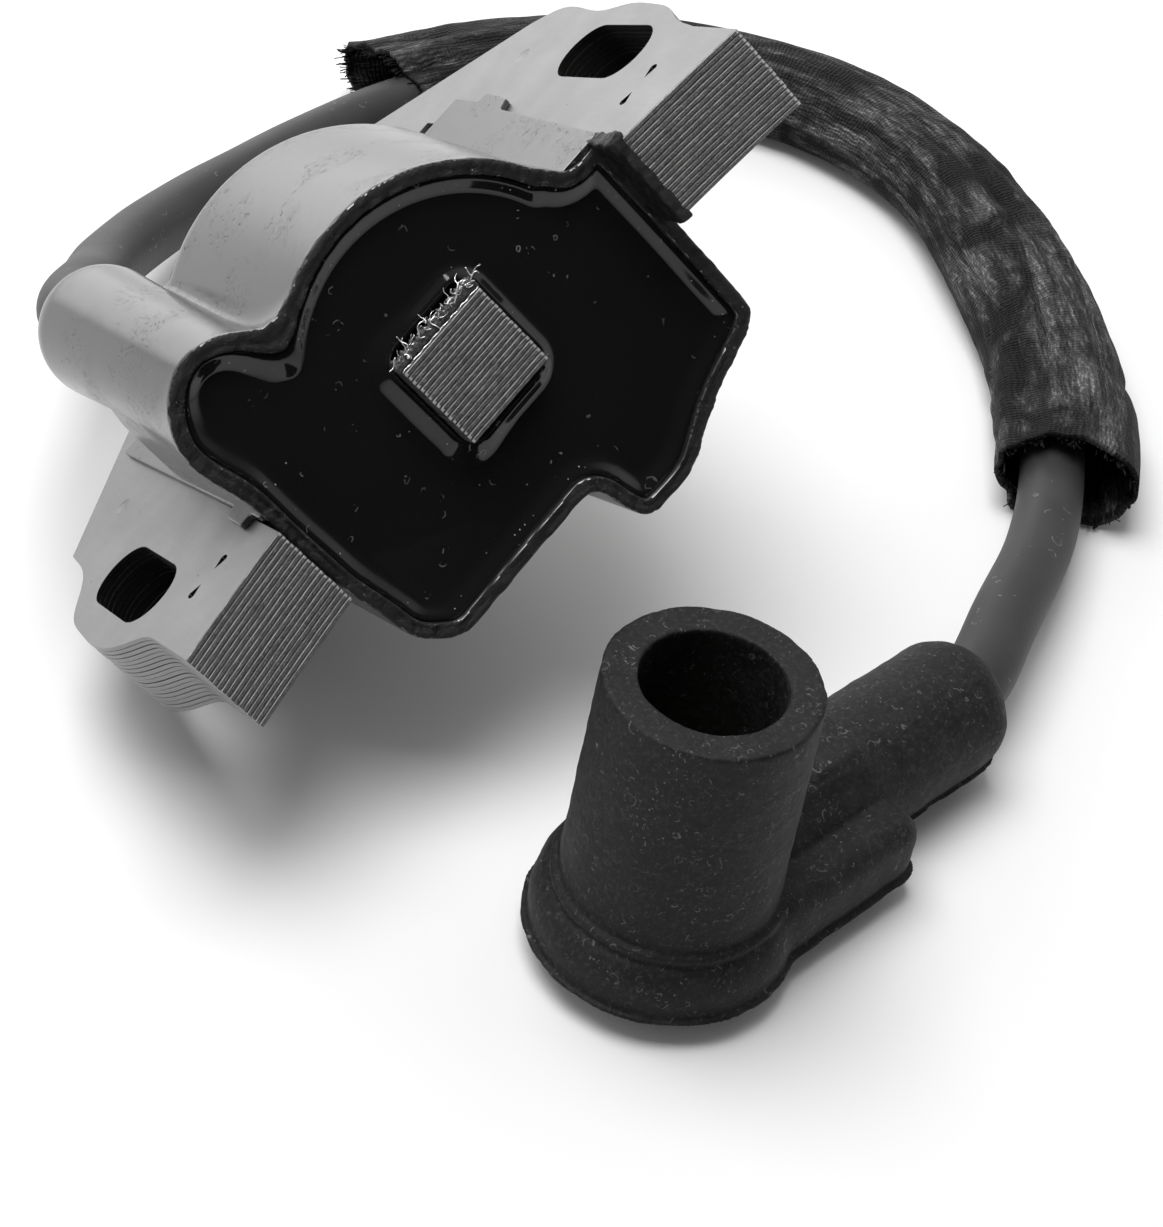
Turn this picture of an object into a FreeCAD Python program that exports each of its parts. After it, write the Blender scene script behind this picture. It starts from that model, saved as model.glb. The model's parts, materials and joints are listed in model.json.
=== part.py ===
import FreeCAD, Part
import math
import os
from FreeCAD import Vector as V

# Ignition coil of a small engine, with its plug lead and spark plug boot, in millimetres.
# It lies on a bench at z = 0, +Z up. It is laid out with x = y = 0 below the middle of the
# centre pole's face, and written with the origin in the middle of its footprint.
# The coil itself is built in its own axes, coil_x along the row of poles, coil_y from the
# poles towards the back, coil_z through the lamination stack, and is then laid on the bench.

# ---- driving dimensions: the core -------------------------------------------------------
PLATES = 18                    # laminations in the stack
PLATE = 0.50                   # thickness of one lamination
PITCH = 0.52                   # lamination plus its varnish gap
STACK = PLATES * PITCH
FLYWHEEL_R = 118.0             # the pole faces follow the flywheel's magnets
LEG_IN, LEG_OUT = 22.85, 36.4  # inner and outer side of an outer leg
POLE_HALF = 5.1                # half width of the centre leg
WINDOW_END = 43.5              # bottom of the two windows, where the yoke starts
CORE_BACK = 58.0
SLOT_X, SLOT_Y = 33.4, 16.8    # middle of a mounting slot
SLOT_R, SLOT_RUN = 3.4, 8.8    # half width, and distance between the two end arcs

# ---- driving dimensions: the coil case --------------------------------------------------
RIM_Y = 1.5                    # the open front rim, just behind the pole faces
CASE_BACK = 39.8
DOME_BACK = 31.5
WALL = 1.8
DOME_R, DOME_R_BACK = 18.0, 20.3
SIDE_X = 22.6                  # case side, inside the core's window
FLOOR_Z = -17.0                # underside of the case
MODULE_Z = -23.4               # underside of the electronics pocket
REAR_FLOOR_Z = -14.5           # underside of the short rear part
POTTING_Y = 2.9                # level of the resin, below the rim
RECESS_Y = 4.1                 # the resin dips to this level round the centre pole
APRON = 0.68                   # thickness of the flanges on the core's upper face
TOWER_X = -16.9
TOWER_Z = 14.4
TOWER_R, TOWER_R_BACK = 5.3, 6.5
TOWER_END = 35.0
TOWER_RISE = 4.6               # how far the tower climbs over its length

# ---- driving dimensions: windings and electronics ---------------------------------------
BOBBIN_WALL = 0.9
BOBBIN_FRONT = 4.6
PRIMARY_FRONT, PRIMARY_BACK = 6.0, 28.2
SECONDARY_IN = 11.4
SECTION_EDGES = [7.0, 11.2, 15.4, 19.6, 23.8, 28.0]   # ribs between the fine wire's chambers
BOARD_TOP = -15.6
BOARD = 1.0                    # thickness of the circuit board
FIT = 0.02                     # gap left between pieces that lie against each other

# ---- driving dimensions: lead, sleeve and boot ------------------------------------------
LEAD_R = 3.6
STRAND_R = 1.0
BALL_GAP = 0.08                # clearance of a flex point's ball
SLEEVE_W, SLEEVE_H = 7.2, 5.0  # outer half width and half height of the flattened sleeve
SLEEVE_WALL = 0.6
BOOT_X, BOOT_Y = 21.6, -28.8   # axis of the plug barrel
BARREL_TOP = 32.0
BARREL_R, BARREL_R_BASE = 9.5, 10.0
PLUG_R = 6.4                   # bore that grips the spark plug's insulator
CLIP_ROOM_R = 5.4              # narrower room below it, for the terminal clip
CLIP_R = 3.15                  # bore of the clip, for the plug's terminal nut
CLIP_WALL = 0.55
CLIP_FLOOR, CLIP_TOP = 9.4, 17.0
SPIKE_R = 0.8                  # spike of the clip that runs into the lead's strand
PLUG_BORE_END = 17.4           # where the grip bore ends and the clip's room starts
BOOT_FLOOR = 3.4
FLANGE_R, FLANGE_TOP = 12.0, 8.0
SOCKET_Z = 6.9
SOCKET_R = 6.8
SOCKET_ANGLE = 45.0            # heading of the lead socket, from +X
SOCKET_LENGTH = 42.4
LEAD_END = 15.0                # the lead stops this far from the barrel's axis
SOCKET_GAP = 0.05

# ---- how the coil lies on the bench -----------------------------------------------------
YAW, PITCH_DOWN, ROLL = 46.5, -34.7, -36.1
POLE_HEIGHT = 40.4             # centre pole's face above the bench

BENCH = FreeCAD.Placement(V(0, 0, POLE_HEIGHT), FreeCAD.Rotation(YAW, PITCH_DOWN, ROLL))
FOOTPRINT_MIDDLE = V(17.40, 44.05, 0)

os.makedirs("parts", exist_ok=True)


# ---- helpers ----------------------------------------------------------------------------
def save(name, shape):
    """Write a piece with the origin in the middle of the whole part's footprint."""
    moved = shape.copy()
    moved.translate(FOOTPRINT_MIDDLE * -1)
    moved.exportStep("parts/" + name + ".step")


def save_coil(name, shape):
    """Lay a piece made in the coil's axes on the bench, and write it."""
    laid = shape.copy()
    laid.Placement = BENCH.multiply(laid.Placement)
    save(name, laid)


def on_bench(point):
    return BENCH.multVec(point)


def fused(shapes):
    return shapes[0].multiFuse(shapes[1:]).removeSplitter()


def group(shapes):
    return Part.makeCompound(shapes)


def box(x0, x1, y0, y1, z0, z1):
    return Part.makeBox(x1 - x0, y1 - y0, z1 - z0, V(x0, y0, z0))


def cylinder(radius, start, end):
    axis = end - start
    return Part.makeCylinder(radius, axis.Length, start, axis)


def cone(r0, r1, start, end):
    axis = end - start
    return Part.makeCone(r0, r1, axis.Length, start, axis)


def tube(outer, inner, start, end):
    return cylinder(outer, start, end).cut(cylinder(inner, start, end))


def polygon(points):
    return Part.makePolygon(points + [points[0]])


def slab(points, z0, z1):
    """A plate from an outline of (x, y) points."""
    face = Part.Face(polygon([V(x, y, z0) for x, y in points]))
    return face.extrude(V(0, 0, z1 - z0))


# ---- core -------------------------------------------------------------------------------
def pole_y(x):
    """Height of the flywheel's arc at x: the pole faces lie on it."""
    return math.sqrt(FLYWHEEL_R ** 2 - x ** 2) - FLYWHEEL_R


def core_outline():
    right_ear = [(LEG_OUT, pole_y(LEG_OUT)), (36.9, 4.0), (37.6, 7.6), (39.0, 11.0), (39.6, 15.0),
                 (39.6, 21.0), (38.7, 25.0), (39.3, 31.0), (39.2, 35.4), (37.0, 39.5)]
    back = [(21.6, CORE_BACK), (-12.6, CORE_BACK)]
    left_ear = [(-34.6, 36.2), (-35.2, 31.0), (-36.2, 28.2), (-39.2, 23.6), (-40.0, 20.4),
                (-40.0, 11.0), (-38.2, 8.0), (-36.7, 5.0), (-LEG_OUT, pole_y(LEG_OUT))]
    left_window = [(-LEG_IN, pole_y(LEG_IN)), (-LEG_IN, WINDOW_END), (-POLE_HALF, WINDOW_END),
                   (-POLE_HALF, 0.0)]
    right_window = [(POLE_HALF, 0.0), (POLE_HALF, WINDOW_END), (LEG_IN, WINDOW_END),
                    (LEG_IN, pole_y(LEG_IN))]
    return right_ear + back + left_ear + left_window + right_window


def slot_cutter(x, z0, z1):
    reach = SLOT_RUN / 2
    ends = [cylinder(SLOT_R, V(x, SLOT_Y + s * reach, z0), V(x, SLOT_Y + s * reach, z1))
            for s in (-1, 1)]
    return fused(ends + [box(x - SLOT_R, x + SLOT_R, SLOT_Y - reach, SLOT_Y + reach, z0, z1)])


def core_laminations():
    plates = []
    for i in range(PLATES):
        z0 = -STACK / 2 + i * PITCH
        plate = slab(core_outline(), z0, z0 + PLATE)
        for x in (-SLOT_X, SLOT_X):
            plate = plate.cut(slot_cutter(x, z0 - 1, z0 + 1))
        plates.append(plate)
    return group(plates)


def centre_leg_wedge():
    """Soft strip pressed between the centre leg and the bobbin's tunnel."""
    top = STACK / 2
    return box(-POLE_HALF, POLE_HALF, 0.6, 30, top + FIT, top + FIT + 0.5)


# ---- coil case --------------------------------------------------------------------------
def lower_outline():
    """Section of the case below the dome, with the electronics pocket at one side."""
    return [(-22.3, TOWER_Z), (-SIDE_X, 9.0), (-SIDE_X, -9.0), (-21.2, -13.6), (-17.8, FLOOR_Z),
            (0.0, FLOOR_Z), (0.9, -19.5), (2.4, MODULE_Z), (7.6, MODULE_Z), (21.4, -18.3),
            (SIDE_X, -16.8), (SIDE_X, 4.9), (0.0, 4.9), (0.0, 9.0), (-11.8, TOWER_Z)]


def inset_bar(inset, y0, y1, lowest=-99.0):
    wire = polygon([V(x, y0, max(z, lowest)) for x, z in lower_outline()])
    if inset:
        wire = wire.makeOffset2D(-inset, 2)
    return Part.Face(wire).extrude(V(0, y1 - y0, 0))


def tower_axis(y):
    climb = TOWER_RISE * (y - RIM_Y) / (TOWER_END - RIM_Y)
    return V(TOWER_X, y, TOWER_Z + climb)


def case_form(inset, y0):
    """The case's outer form for inset 0, and its hollow for the wall's thickness."""
    dome = cone(DOME_R - inset, DOME_R_BACK - inset, V(0, y0, 0), V(0, DOME_BACK - inset, 0))
    dome = dome.common(box(-30, 30, 0, 60, -STACK, 30))
    front = inset_bar(inset, y0, DOME_BACK + 1.5 - inset)
    rear = inset_bar(inset, y0, CASE_BACK - inset, REAR_FLOOR_Z)
    over_leg = box(-40, 40, y0, CASE_BACK, -40, STACK / 2)
    return fused([dome, front, rear.common(over_leg)])


def tower_form(inset, y0, y1):
    slope = (TOWER_R_BACK - TOWER_R) / (TOWER_END - RIM_Y)
    r0 = TOWER_R + slope * (y0 - RIM_Y) - inset
    r1 = TOWER_R + slope * (y1 - RIM_Y) - inset
    return cone(r0, r1, tower_axis(y0), tower_axis(y1))


def round_end(form, radius):
    """Round the edge of a tower at its far end."""
    rims = [e for e in form.Edges if e.BoundBox.YMin > TOWER_END - 3]
    return form.makeFillet(radius, rims)


def tunnel(gap, y0, y1):
    """Square passage that the core's centre leg and its wedge go through."""
    half_z = STACK / 2
    return box(-POLE_HALF - gap, POLE_HALF + gap, y0, y1, -half_z - gap, half_z + 0.6 + gap)


def aprons():
    """Thin flanges of the case that lie on the upper face of the core."""
    z0 = STACK / 2 + FIT
    z1 = z0 + APRON
    y0, y1 = RIM_Y + 0.6, CASE_BACK - 0.2
    right = [(14.0, y0), (22.9, y0), (24.8, 26.6), (26.2, 27.6), (26.7, 33.0), (25.4, 33.2),
             (25.7, 39.5), (21.5, y1), (12.0, y1), (12.0, DOME_BACK - 3), (14.0, DOME_BACK - 3)]
    left = [(-22.0, 3.4), (-22.8, 3.4), (-22.8, 4.1), (-24.2, 4.1), (-24.0, 8.2), (-22.9, 8.9),
            (-23.1, y1), (-22.0, y1)]
    return [slab(right, z0, z1), slab(left, z0, z1)]


def hollow():
    return fused([case_form(WALL, RIM_Y - 1), tower_form(WALL, RIM_Y - 0.5, TOWER_END - 5)])


def lead_bore(gap):
    return cylinder(LEAD_R + gap, tower_axis(TOWER_END - 9), tower_axis(TOWER_END + 9))


def coil_case():
    tower = round_end(tower_form(0, RIM_Y, TOWER_END), 2.8)
    leg_cover = tunnel(2.1, DOME_BACK - 3, CASE_BACK)
    shell = fused([case_form(0, RIM_Y), tower, leg_cover] + aprons()).cut(hollow())
    for opening in (tunnel(BOBBIN_WALL, DOME_BACK - 6, CASE_BACK + 4), lead_bore(FIT), ht_terminal(),
                    earth_strip(), stop_terminal()):
        shell = shell.cut(opening)
    return shell


# ---- windings ---------------------------------------------------------------------------
def primary_bobbin():
    body = tunnel(BOBBIN_WALL, BOBBIN_FRONT, CASE_BACK)
    flanges = [tunnel(2.75, y, y + 1) for y in (PRIMARY_FRONT - 1, PRIMARY_BACK)]
    return fused([body] + flanges).cut(tunnel(0.12, 0, CASE_BACK + 1))


def primary_winding():
    inner = tunnel(BOBBIN_WALL + FIT, 0, CASE_BACK)
    return tunnel(2.6, PRIMARY_FRONT + FIT, PRIMARY_BACK - FIT).cut(inner)


def secondary_bobbin():
    ends = V(0, SECTION_EDGES[0] - 0.6, 0), V(0, SECTION_EDGES[-1] + 0.6, 0)
    core = tube(SECONDARY_IN + BOBBIN_WALL, SECONDARY_IN, *ends)
    ribs = [tube(14.5, SECONDARY_IN + 0.4, V(0, y - 0.4, 0), V(0, y + 0.4, 0)) for y in SECTION_EDGES]
    return fused([core] + ribs)


def secondary_winding():
    """One coil of fine wire in each chamber of the bobbin."""
    inner = SECONDARY_IN + BOBBIN_WALL + FIT
    side = 0.4 + FIT
    return group([tube(13.9, inner, V(0, a + side, 0), V(0, b - side, 0))
                  for a, b in zip(SECTION_EDGES, SECTION_EDGES[1:])])


# ---- electronics ------------------------------------------------------------------------
def circuit_board():
    return box(5.4, 17.4, 6.0, 30.6, BOARD_TOP - BOARD, BOARD_TOP)


def under_board(x0, x1, y0, y1, height):
    top = BOARD_TOP - BOARD - FIT
    return box(x0, x1, y0, y1, top - height, top)


def switching_transistor():
    return under_board(5.8, 11.4, 8.0, 14.5, 3.0)


def trigger_capacitor():
    return under_board(5.8, 10.8, 17.0, 22.0, 2.6)


def protection_diode():
    radius = 0.9
    z = BOARD_TOP - BOARD - FIT - radius
    return cylinder(radius, V(8.0, 25.0, z), V(8.0, 30.0, z))


def resistors():
    return group([under_board(12.6, 15.2, y, y + 1.4, 0.7) for y in (9.0, 13.0, 17.0)])


def ht_terminal():
    """Pin that screws into the lead's strand, with a spur to the secondary winding."""
    start, end = tower_axis(14.0), tower_axis(TOWER_END - 9.1)
    pin = cylinder(1.3, start, end)
    point = cone(0.9, 0.3, end, tower_axis(TOWER_END - 5.5))
    spur = cylinder(0.5, tower_axis(17.5), V(-10.2, 17.5, 10.2))
    return fused([pin, point, spur])


def earth_strip():
    """Brass strip from the primary winding to the side of the core's leg."""
    return fused([box(7.9, SIDE_X + 0.1, 34.0, 36.0, -4.0, -3.6),
                  box(SIDE_X - 0.2, SIDE_X + 0.1, 34.0, 36.0, -4.0, 2.0)])


def stop_terminal():
    """Spade for the engine's stop wire, out of the back of the electronics pocket."""
    x, z0, z1, half, tip = 10.4, -19.6, -18.8, 2.4, DOME_BACK + 9.2
    blade = box(x - half, x + half, 30.8, tip, z0, z1)
    blade = blade.fuse(cylinder(half, V(x, tip, z0), V(x, tip, z1)))
    return blade.cut(cylinder(0.9, V(x, tip, z0 - 1), V(x, tip, z1 + 1))).removeSplitter()


def inner_parts():
    return [primary_bobbin(), primary_winding(), secondary_bobbin(), secondary_winding(),
            circuit_board(), switching_transistor(), trigger_capacitor(), protection_diode(),
            resistors(), ht_terminal(), earth_strip(), stop_terminal()]


def potting_resin():
    """Resin that fills the case round everything in it, with a recess at the centre pole."""
    block = hollow().common(box(-60, 60, POTTING_Y, 60, -60, 60))
    block = block.cut(tunnel(BOBBIN_WALL, 0, 60)).cut(tunnel(1.9, 0, RECESS_Y))
    block = block.cut(lead_bore(FIT))
    for part in inner_parts():
        for solid in part.Solids:
            block = block.cut(solid)
    return block


# ---- lead -------------------------------------------------------------------------------
EXIT = on_bench(tower_axis(TOWER_END + 2.5))
EXIT_DIRECTION = (EXIT - on_bench(tower_axis(TOWER_END))).normalize()
SOCKET_DIRECTION = V(math.cos(math.radians(SOCKET_ANGLE)), math.sin(math.radians(SOCKET_ANGLE)), 0)
SOCKET_START = V(BOOT_X, BOOT_Y, SOCKET_Z)
SOCKET_MOUTH = SOCKET_START + SOCKET_DIRECTION * SOCKET_LENGTH
BEND = V(63.0, 27.0, 5.8)      # flex point between the sleeve's open end and the boot
BEND_DIRECTION = V(-0.28, -0.955, 0.09)

REAR_ROUTE = [V(-38.3, 34.5, 19.6), V(-38.2, 47.6, 13.6), V(-36.0, 59.6, 9.8), V(-32.2, 70.6, 7.2),
              V(-26.4, 81.6, 5.5), V(-16.6, 95.6, 4.7), V(-3.0, 108.8, 4.7), V(13.0, 117.6, 4.7),
              V(30.0, 120.0, 4.7), V(46.0, 115.0, 4.7), V(58.0, 102.5, 4.7), V(65.0, 84.0, 4.7),
              V(68.2, 62.0, 4.7), V(66.6, 41.0, 5.1)]
FRONT_ROUTE = [V(58.6, 15.2, 7.0)]
SLEEVE_START, SLEEVE_END = 0.37, 0.955   # where the sleeve begins and ends along the lead
SLEEVE_OFFSET = 1.6            # the sleeve sags outwards from the lead
SLEEVE_LIFT = 0.38             # and rests on the bench, a little above the lead's middle


def curve(points, start_direction=None, end_direction=None):
    spline = Part.BSplineCurve()
    if start_direction is None:
        spline.interpolate(points)
    else:
        spline.interpolate(Points=points, InitialTangent=start_direction * 10,
                           FinalTangent=end_direction * 14)
    return spline.toShape()


def swept(radius, path):
    edge = path.Edges[0]
    start = edge.valueAt(edge.FirstParameter)
    heading = edge.tangentAt(edge.FirstParameter)
    ring = Part.Wire(Part.makeCircle(radius, start, heading))
    return Part.Wire(path.Edges).makePipeShell([ring], True, False)


def rear_path():
    return curve([EXIT] + REAR_ROUTE + [BEND], EXIT_DIRECTION, BEND_DIRECTION)


def front_path():
    mouth = SOCKET_MOUTH + SOCKET_DIRECTION * 0.6
    bend = curve([BEND] + FRONT_ROUTE + [mouth], BEND_DIRECTION, SOCKET_DIRECTION * -1)
    inside = Part.makeLine(mouth, SOCKET_START + SOCKET_DIRECTION * LEAD_END)
    return Part.Wire([bend, inside])


def ball(point, extra=0.0):
    return Part.makeSphere(LEAD_R + extra, point)


def lead_root():
    """The lead's end inside the tower, cupped where the lead flexes at the tower's mouth."""
    whole = cylinder(LEAD_R, on_bench(tower_axis(TOWER_END - 9)), EXIT)
    bore = cylinder(0.95, on_bench(tower_axis(TOWER_END - 9.1)), on_bench(tower_axis(TOWER_END - 5.4)))
    return whole.cut(ball(EXIT, BALL_GAP)).cut(bore)


def lead_rear():
    path = rear_path()
    body = fused([swept(LEAD_R, path), ball(EXIT), ball(BEND)])
    return body


def lead_front():
    whole = swept(LEAD_R, front_path())
    spike_end = SOCKET_START + SOCKET_DIRECTION * (LEAD_END + 7)
    spike_bore = cylinder(SPIKE_R + 0.1, SOCKET_START, spike_end)
    return whole.cut(ball(BEND, BALL_GAP)).cut(spike_bore)


def trimmed_path(path, start, end):
    """The stretch of a one-edge path between two fractions of its parameter range."""
    edge = path.Edges[0]
    first, last = edge.FirstParameter, edge.LastParameter
    span = last - first
    return edge.Curve.toShape(first + span * start, first + span * end)


def lead_strand():
    """Copper strand of the long part of the lead; it stops short of the flex points."""
    return swept(STRAND_R, trimmed_path(rear_path(), 0.03, 0.97))


def heat_sleeve():
    """Flattened braided sleeve, loose on the lead."""
    lead = rear_path().Edges[0]
    span = lead.LastParameter - lead.FirstParameter
    points = []
    for i in range(10):
        at = lead.FirstParameter + span * (SLEEVE_START + (SLEEVE_END - SLEEVE_START) * i / 9)
        outward = V(0, 0, 1).cross(lead.tangentAt(at)).normalize()
        point = lead.valueAt(at) + outward * SLEEVE_OFFSET
        points.append(point + V(0, 0, SLEEVE_LIFT))
    path = Part.Wire([curve(points)])
    edge = path.Edges[0]
    start, heading = edge.valueAt(edge.FirstParameter), edge.tangentAt(edge.FirstParameter)
    across = heading.cross(V(0, 0, 1)).normalize()
    shells = []
    for inset in (0, SLEEVE_WALL):
        ellipse = Part.Ellipse(start + across * (SLEEVE_W - inset),
                               start + V(0, 0, SLEEVE_H - inset), start)
        pipe = Part.BRepOffsetAPI.MakePipeShell(path)
        pipe.setBiNormalMode(V(0, 0, 1))
        pipe.add(Part.Wire(ellipse.toShape()))
        pipe.build()
        pipe.makeSolid()
        shells.append(pipe.shape())
    return shells[0].cut(shells[1])


# ---- boot -------------------------------------------------------------------------------
def along_socket(distance, side=0.0, z=SOCKET_Z):
    across = V(SOCKET_DIRECTION.y, -SOCKET_DIRECTION.x, 0)
    point = SOCKET_START + SOCKET_DIRECTION * distance + across * side
    return V(point.x, point.y, z)


def boot_wings():
    """Side ribs of the elbow, two steps high, with rounded ends."""
    steps = []
    for half, reach, z0, z1 in ((10.6, 24.0, 2.0, 10.4), (3.8, 22.5, 8.0, 14.6)):
        corners = [along_socket(0, -half, z0), along_socket(reach, -half, z0),
                   along_socket(reach, half, z0), along_socket(0, half, z0)]
        block = Part.Face(polygon(corners)).extrude(V(0, 0, z1 - z0))
        steps.append(block)
    return steps


def plug_boot():
    axis = V(BOOT_X, BOOT_Y, 0)
    flange = cylinder(FLANGE_R, axis, axis + V(0, 0, FLANGE_TOP))
    flange = flange.makeFillet(2.5, [e for e in flange.Edges if e.BoundBox.ZMax < 1])
    barrel = cone(BARREL_R_BASE, BARREL_R, axis + V(0, 0, FLANGE_TOP - 3), axis + V(0, 0, BARREL_TOP))
    socket = cylinder(SOCKET_R, SOCKET_START, SOCKET_MOUTH)
    mouth = [e for e in socket.Edges if e.CenterOfMass.distanceToPoint(SOCKET_MOUTH) < 1]
    socket = socket.makeFillet(2.4, mouth)
    body = fused([flange, barrel, socket] + boot_wings())
    bore = cylinder(PLUG_R, axis + V(0, 0, PLUG_BORE_END), axis + V(0, 0, BARREL_TOP + 1))
    room = cylinder(CLIP_ROOM_R, axis + V(0, 0, BOOT_FLOOR), axis + V(0, 0, PLUG_BORE_END + 1))
    lead_way = cylinder(LEAD_R + SOCKET_GAP, SOCKET_START, SOCKET_MOUTH + SOCKET_DIRECTION * 4)
    return body.cut(bore).cut(room).cut(lead_way)


def plug_terminal():
    """Slit brass clip that snaps over the spark plug's terminal, with its spike for the lead."""
    axis = V(BOOT_X, BOOT_Y, 0)
    outer = CLIP_R + CLIP_WALL
    clip = tube(outer, CLIP_R, axis + V(0, 0, BOOT_FLOOR), axis + V(0, 0, CLIP_TOP))
    slit = Part.makeBox(6, 0.8, CLIP_TOP, V(BOOT_X - 6, BOOT_Y - 0.4, CLIP_FLOOR + 0.6))
    floor = cylinder(outer, axis + V(0, 0, BOOT_FLOOR), axis + V(0, 0, CLIP_FLOOR))
    shoulder = SOCKET_START + SOCKET_DIRECTION * (LEAD_END + 5)
    spike = cylinder(SPIKE_R, SOCKET_START, shoulder)
    point = cone(SPIKE_R, 0.2, shoulder, shoulder + SOCKET_DIRECTION * 1.5)
    return fused([clip.cut(slit), floor, spike, point])


def terminal_spring():
    """Spring ring that squeezes the clip."""
    axis = V(BOOT_X, BOOT_Y, 13.0)
    return Part.makeTorus(4.15, 0.4, axis)


# ---- write every piece ------------------------------------------------------------------
save_coil("core_laminations", core_laminations())
save_coil("centre_leg_wedge", centre_leg_wedge())
save_coil("coil_case", coil_case())
save_coil("potting_resin", potting_resin())
save_coil("primary_bobbin", primary_bobbin())
save_coil("primary_winding", primary_winding())
save_coil("secondary_bobbin", secondary_bobbin())
save_coil("secondary_winding", secondary_winding())
save_coil("circuit_board", circuit_board())
save_coil("switching_transistor", switching_transistor())
save_coil("trigger_capacitor", trigger_capacitor())
save_coil("protection_diode", protection_diode())
save_coil("resistors", resistors())
save_coil("ht_terminal", ht_terminal())
save_coil("earth_strip", earth_strip())
save_coil("stop_terminal", stop_terminal())
save("lead_root", lead_root())
save("lead_rear", lead_rear().cut(lead_strand()))
save("lead_strand", lead_strand())
save("lead_front", lead_front())
save("heat_sleeve", heat_sleeve())
save("plug_boot", plug_boot())
save("plug_terminal", plug_terminal())
save("terminal_spring", terminal_spring())
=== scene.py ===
import json
import math
import bmesh
import bpy
import numpy as np
from mathutils import Matrix, Vector


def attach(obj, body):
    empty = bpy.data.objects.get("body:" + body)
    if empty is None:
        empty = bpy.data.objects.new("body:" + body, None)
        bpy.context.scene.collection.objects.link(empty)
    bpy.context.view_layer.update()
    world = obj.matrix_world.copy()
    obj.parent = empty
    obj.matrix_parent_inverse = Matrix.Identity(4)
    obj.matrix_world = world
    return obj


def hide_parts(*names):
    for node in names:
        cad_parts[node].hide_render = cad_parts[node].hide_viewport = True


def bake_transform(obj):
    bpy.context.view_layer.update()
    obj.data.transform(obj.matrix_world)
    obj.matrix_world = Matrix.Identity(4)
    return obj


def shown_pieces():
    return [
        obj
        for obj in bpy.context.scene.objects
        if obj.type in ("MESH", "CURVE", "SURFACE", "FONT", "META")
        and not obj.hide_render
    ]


# Looks of the ignition coil. Lengths below are in millimetres; MM turns them into metres.
# "coil axes" are the ones the coil was drawn in: x along the poles, y from the poles to the
# back, z through the lamination stack, 0 at the middle of the centre pole's face.

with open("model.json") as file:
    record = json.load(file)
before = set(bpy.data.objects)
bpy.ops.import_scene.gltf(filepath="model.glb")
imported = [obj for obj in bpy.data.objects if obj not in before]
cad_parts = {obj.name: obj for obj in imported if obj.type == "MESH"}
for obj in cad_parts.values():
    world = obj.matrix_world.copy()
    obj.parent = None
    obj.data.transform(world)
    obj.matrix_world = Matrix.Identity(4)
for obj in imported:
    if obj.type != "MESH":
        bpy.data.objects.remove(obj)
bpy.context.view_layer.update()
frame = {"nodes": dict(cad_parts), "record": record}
MM = 0.001
mounts = {m["name"]: m for m in frame["record"]["mounts"]}
rng = np.random.default_rng(7)

# ---- coil axes, from the two mounting slots ----
SLOT_Y = 16.8
STACK = 9.36
PITCH = 0.52
LEG_IN, LEG_OUT, POLE_HALF = 22.85, 36.4, 5.1
upper_slot, lower_slot = (Vector(mounts[n]["pos_m"]) for n in ("upper_slot", "lower_slot"))
coil_x = (upper_slot - lower_slot).normalized()
coil_z = Vector(mounts["upper_slot"]["axis"]).normalized()
coil_y = coil_z.cross(coil_x)
coil_origin = (upper_slot + lower_slot) / 2 - coil_y * SLOT_Y * MM
COIL = Matrix.Translation(coil_origin) @ Matrix((coil_x, coil_y, coil_z)).transposed().to_4x4()
# Angle about the coil's z that leaves the whole slope of its x-y plane to x.
LEVEL = math.atan2(coil_y.z, coil_x.z)

# ---- boot axes: x along the lead socket, z up the plug barrel ----
SOCKET_HEADING = math.radians(45)
boot_top = Vector(mounts["spark_plug_bore"]["pos_m"])
BOOT = Matrix.Translation((boot_top.x, boot_top.y, 0)) @ Matrix.Rotation(SOCKET_HEADING, 4, "Z")


# ---- distance fields, meshed with surface nets ----
def grid(low, high, step):
    axes = [np.arange(a, b + step, step, dtype=np.float32) for a, b in zip(low, high)]
    return np.meshgrid(*axes, indexing="ij")


def soft_union(a, b, k):
    h = np.maximum(k - np.abs(a - b), 0) / k
    return np.minimum(a, b) - h * h * k / 4


def soft_cut(a, b, k):
    """Both a and b: b is the negative of what's taken away."""
    return -soft_union(-a, -b, k)


def cone_field(p, start, end, r0, r1, edge=0.4):
    start, end = np.array(start, np.float32), np.array(end, np.float32)
    length = float(np.linalg.norm(end - start))
    axis = (end - start) / length
    rel = [p[i] - start[i] for i in range(3)]
    along = rel[0] * axis[0] + rel[1] * axis[1] + rel[2] * axis[2]
    radial = np.sqrt(np.maximum(rel[0] ** 2 + rel[1] ** 2 + rel[2] ** 2 - along ** 2, 0))
    slope = (r1 - r0) / length
    side = (radial - r0 - slope * along) / math.hypot(1, slope)
    return soft_cut(side, np.abs(along - length / 2) - length / 2, edge)


def box_field(p, low, high, edge=0.4):
    d = [np.abs(p[i] - (low[i] + high[i]) / 2) - (high[i] - low[i]) / 2 for i in range(3)]
    return soft_cut(soft_cut(d[0], d[1], edge), d[2], edge)


def rounded(points, reach):
    """Closed outline with each corner turned into a curve that starts this far from it."""
    loop = np.array(points, float)
    smooth = []
    for before, corner, after in zip(np.roll(loop, 1, axis=0), loop, np.roll(loop, -1, axis=0)):
        back, ahead = before - corner, after - corner
        start = corner + back * min(0.5, reach / np.linalg.norm(back))
        end = corner + ahead * min(0.5, reach / np.linalg.norm(ahead))
        for t in np.linspace(0, 1, 5):
            smooth.append((1 - t) ** 2 * start + 2 * t * (1 - t) * corner + t ** 2 * end)
    return np.array(smooth)


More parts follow.
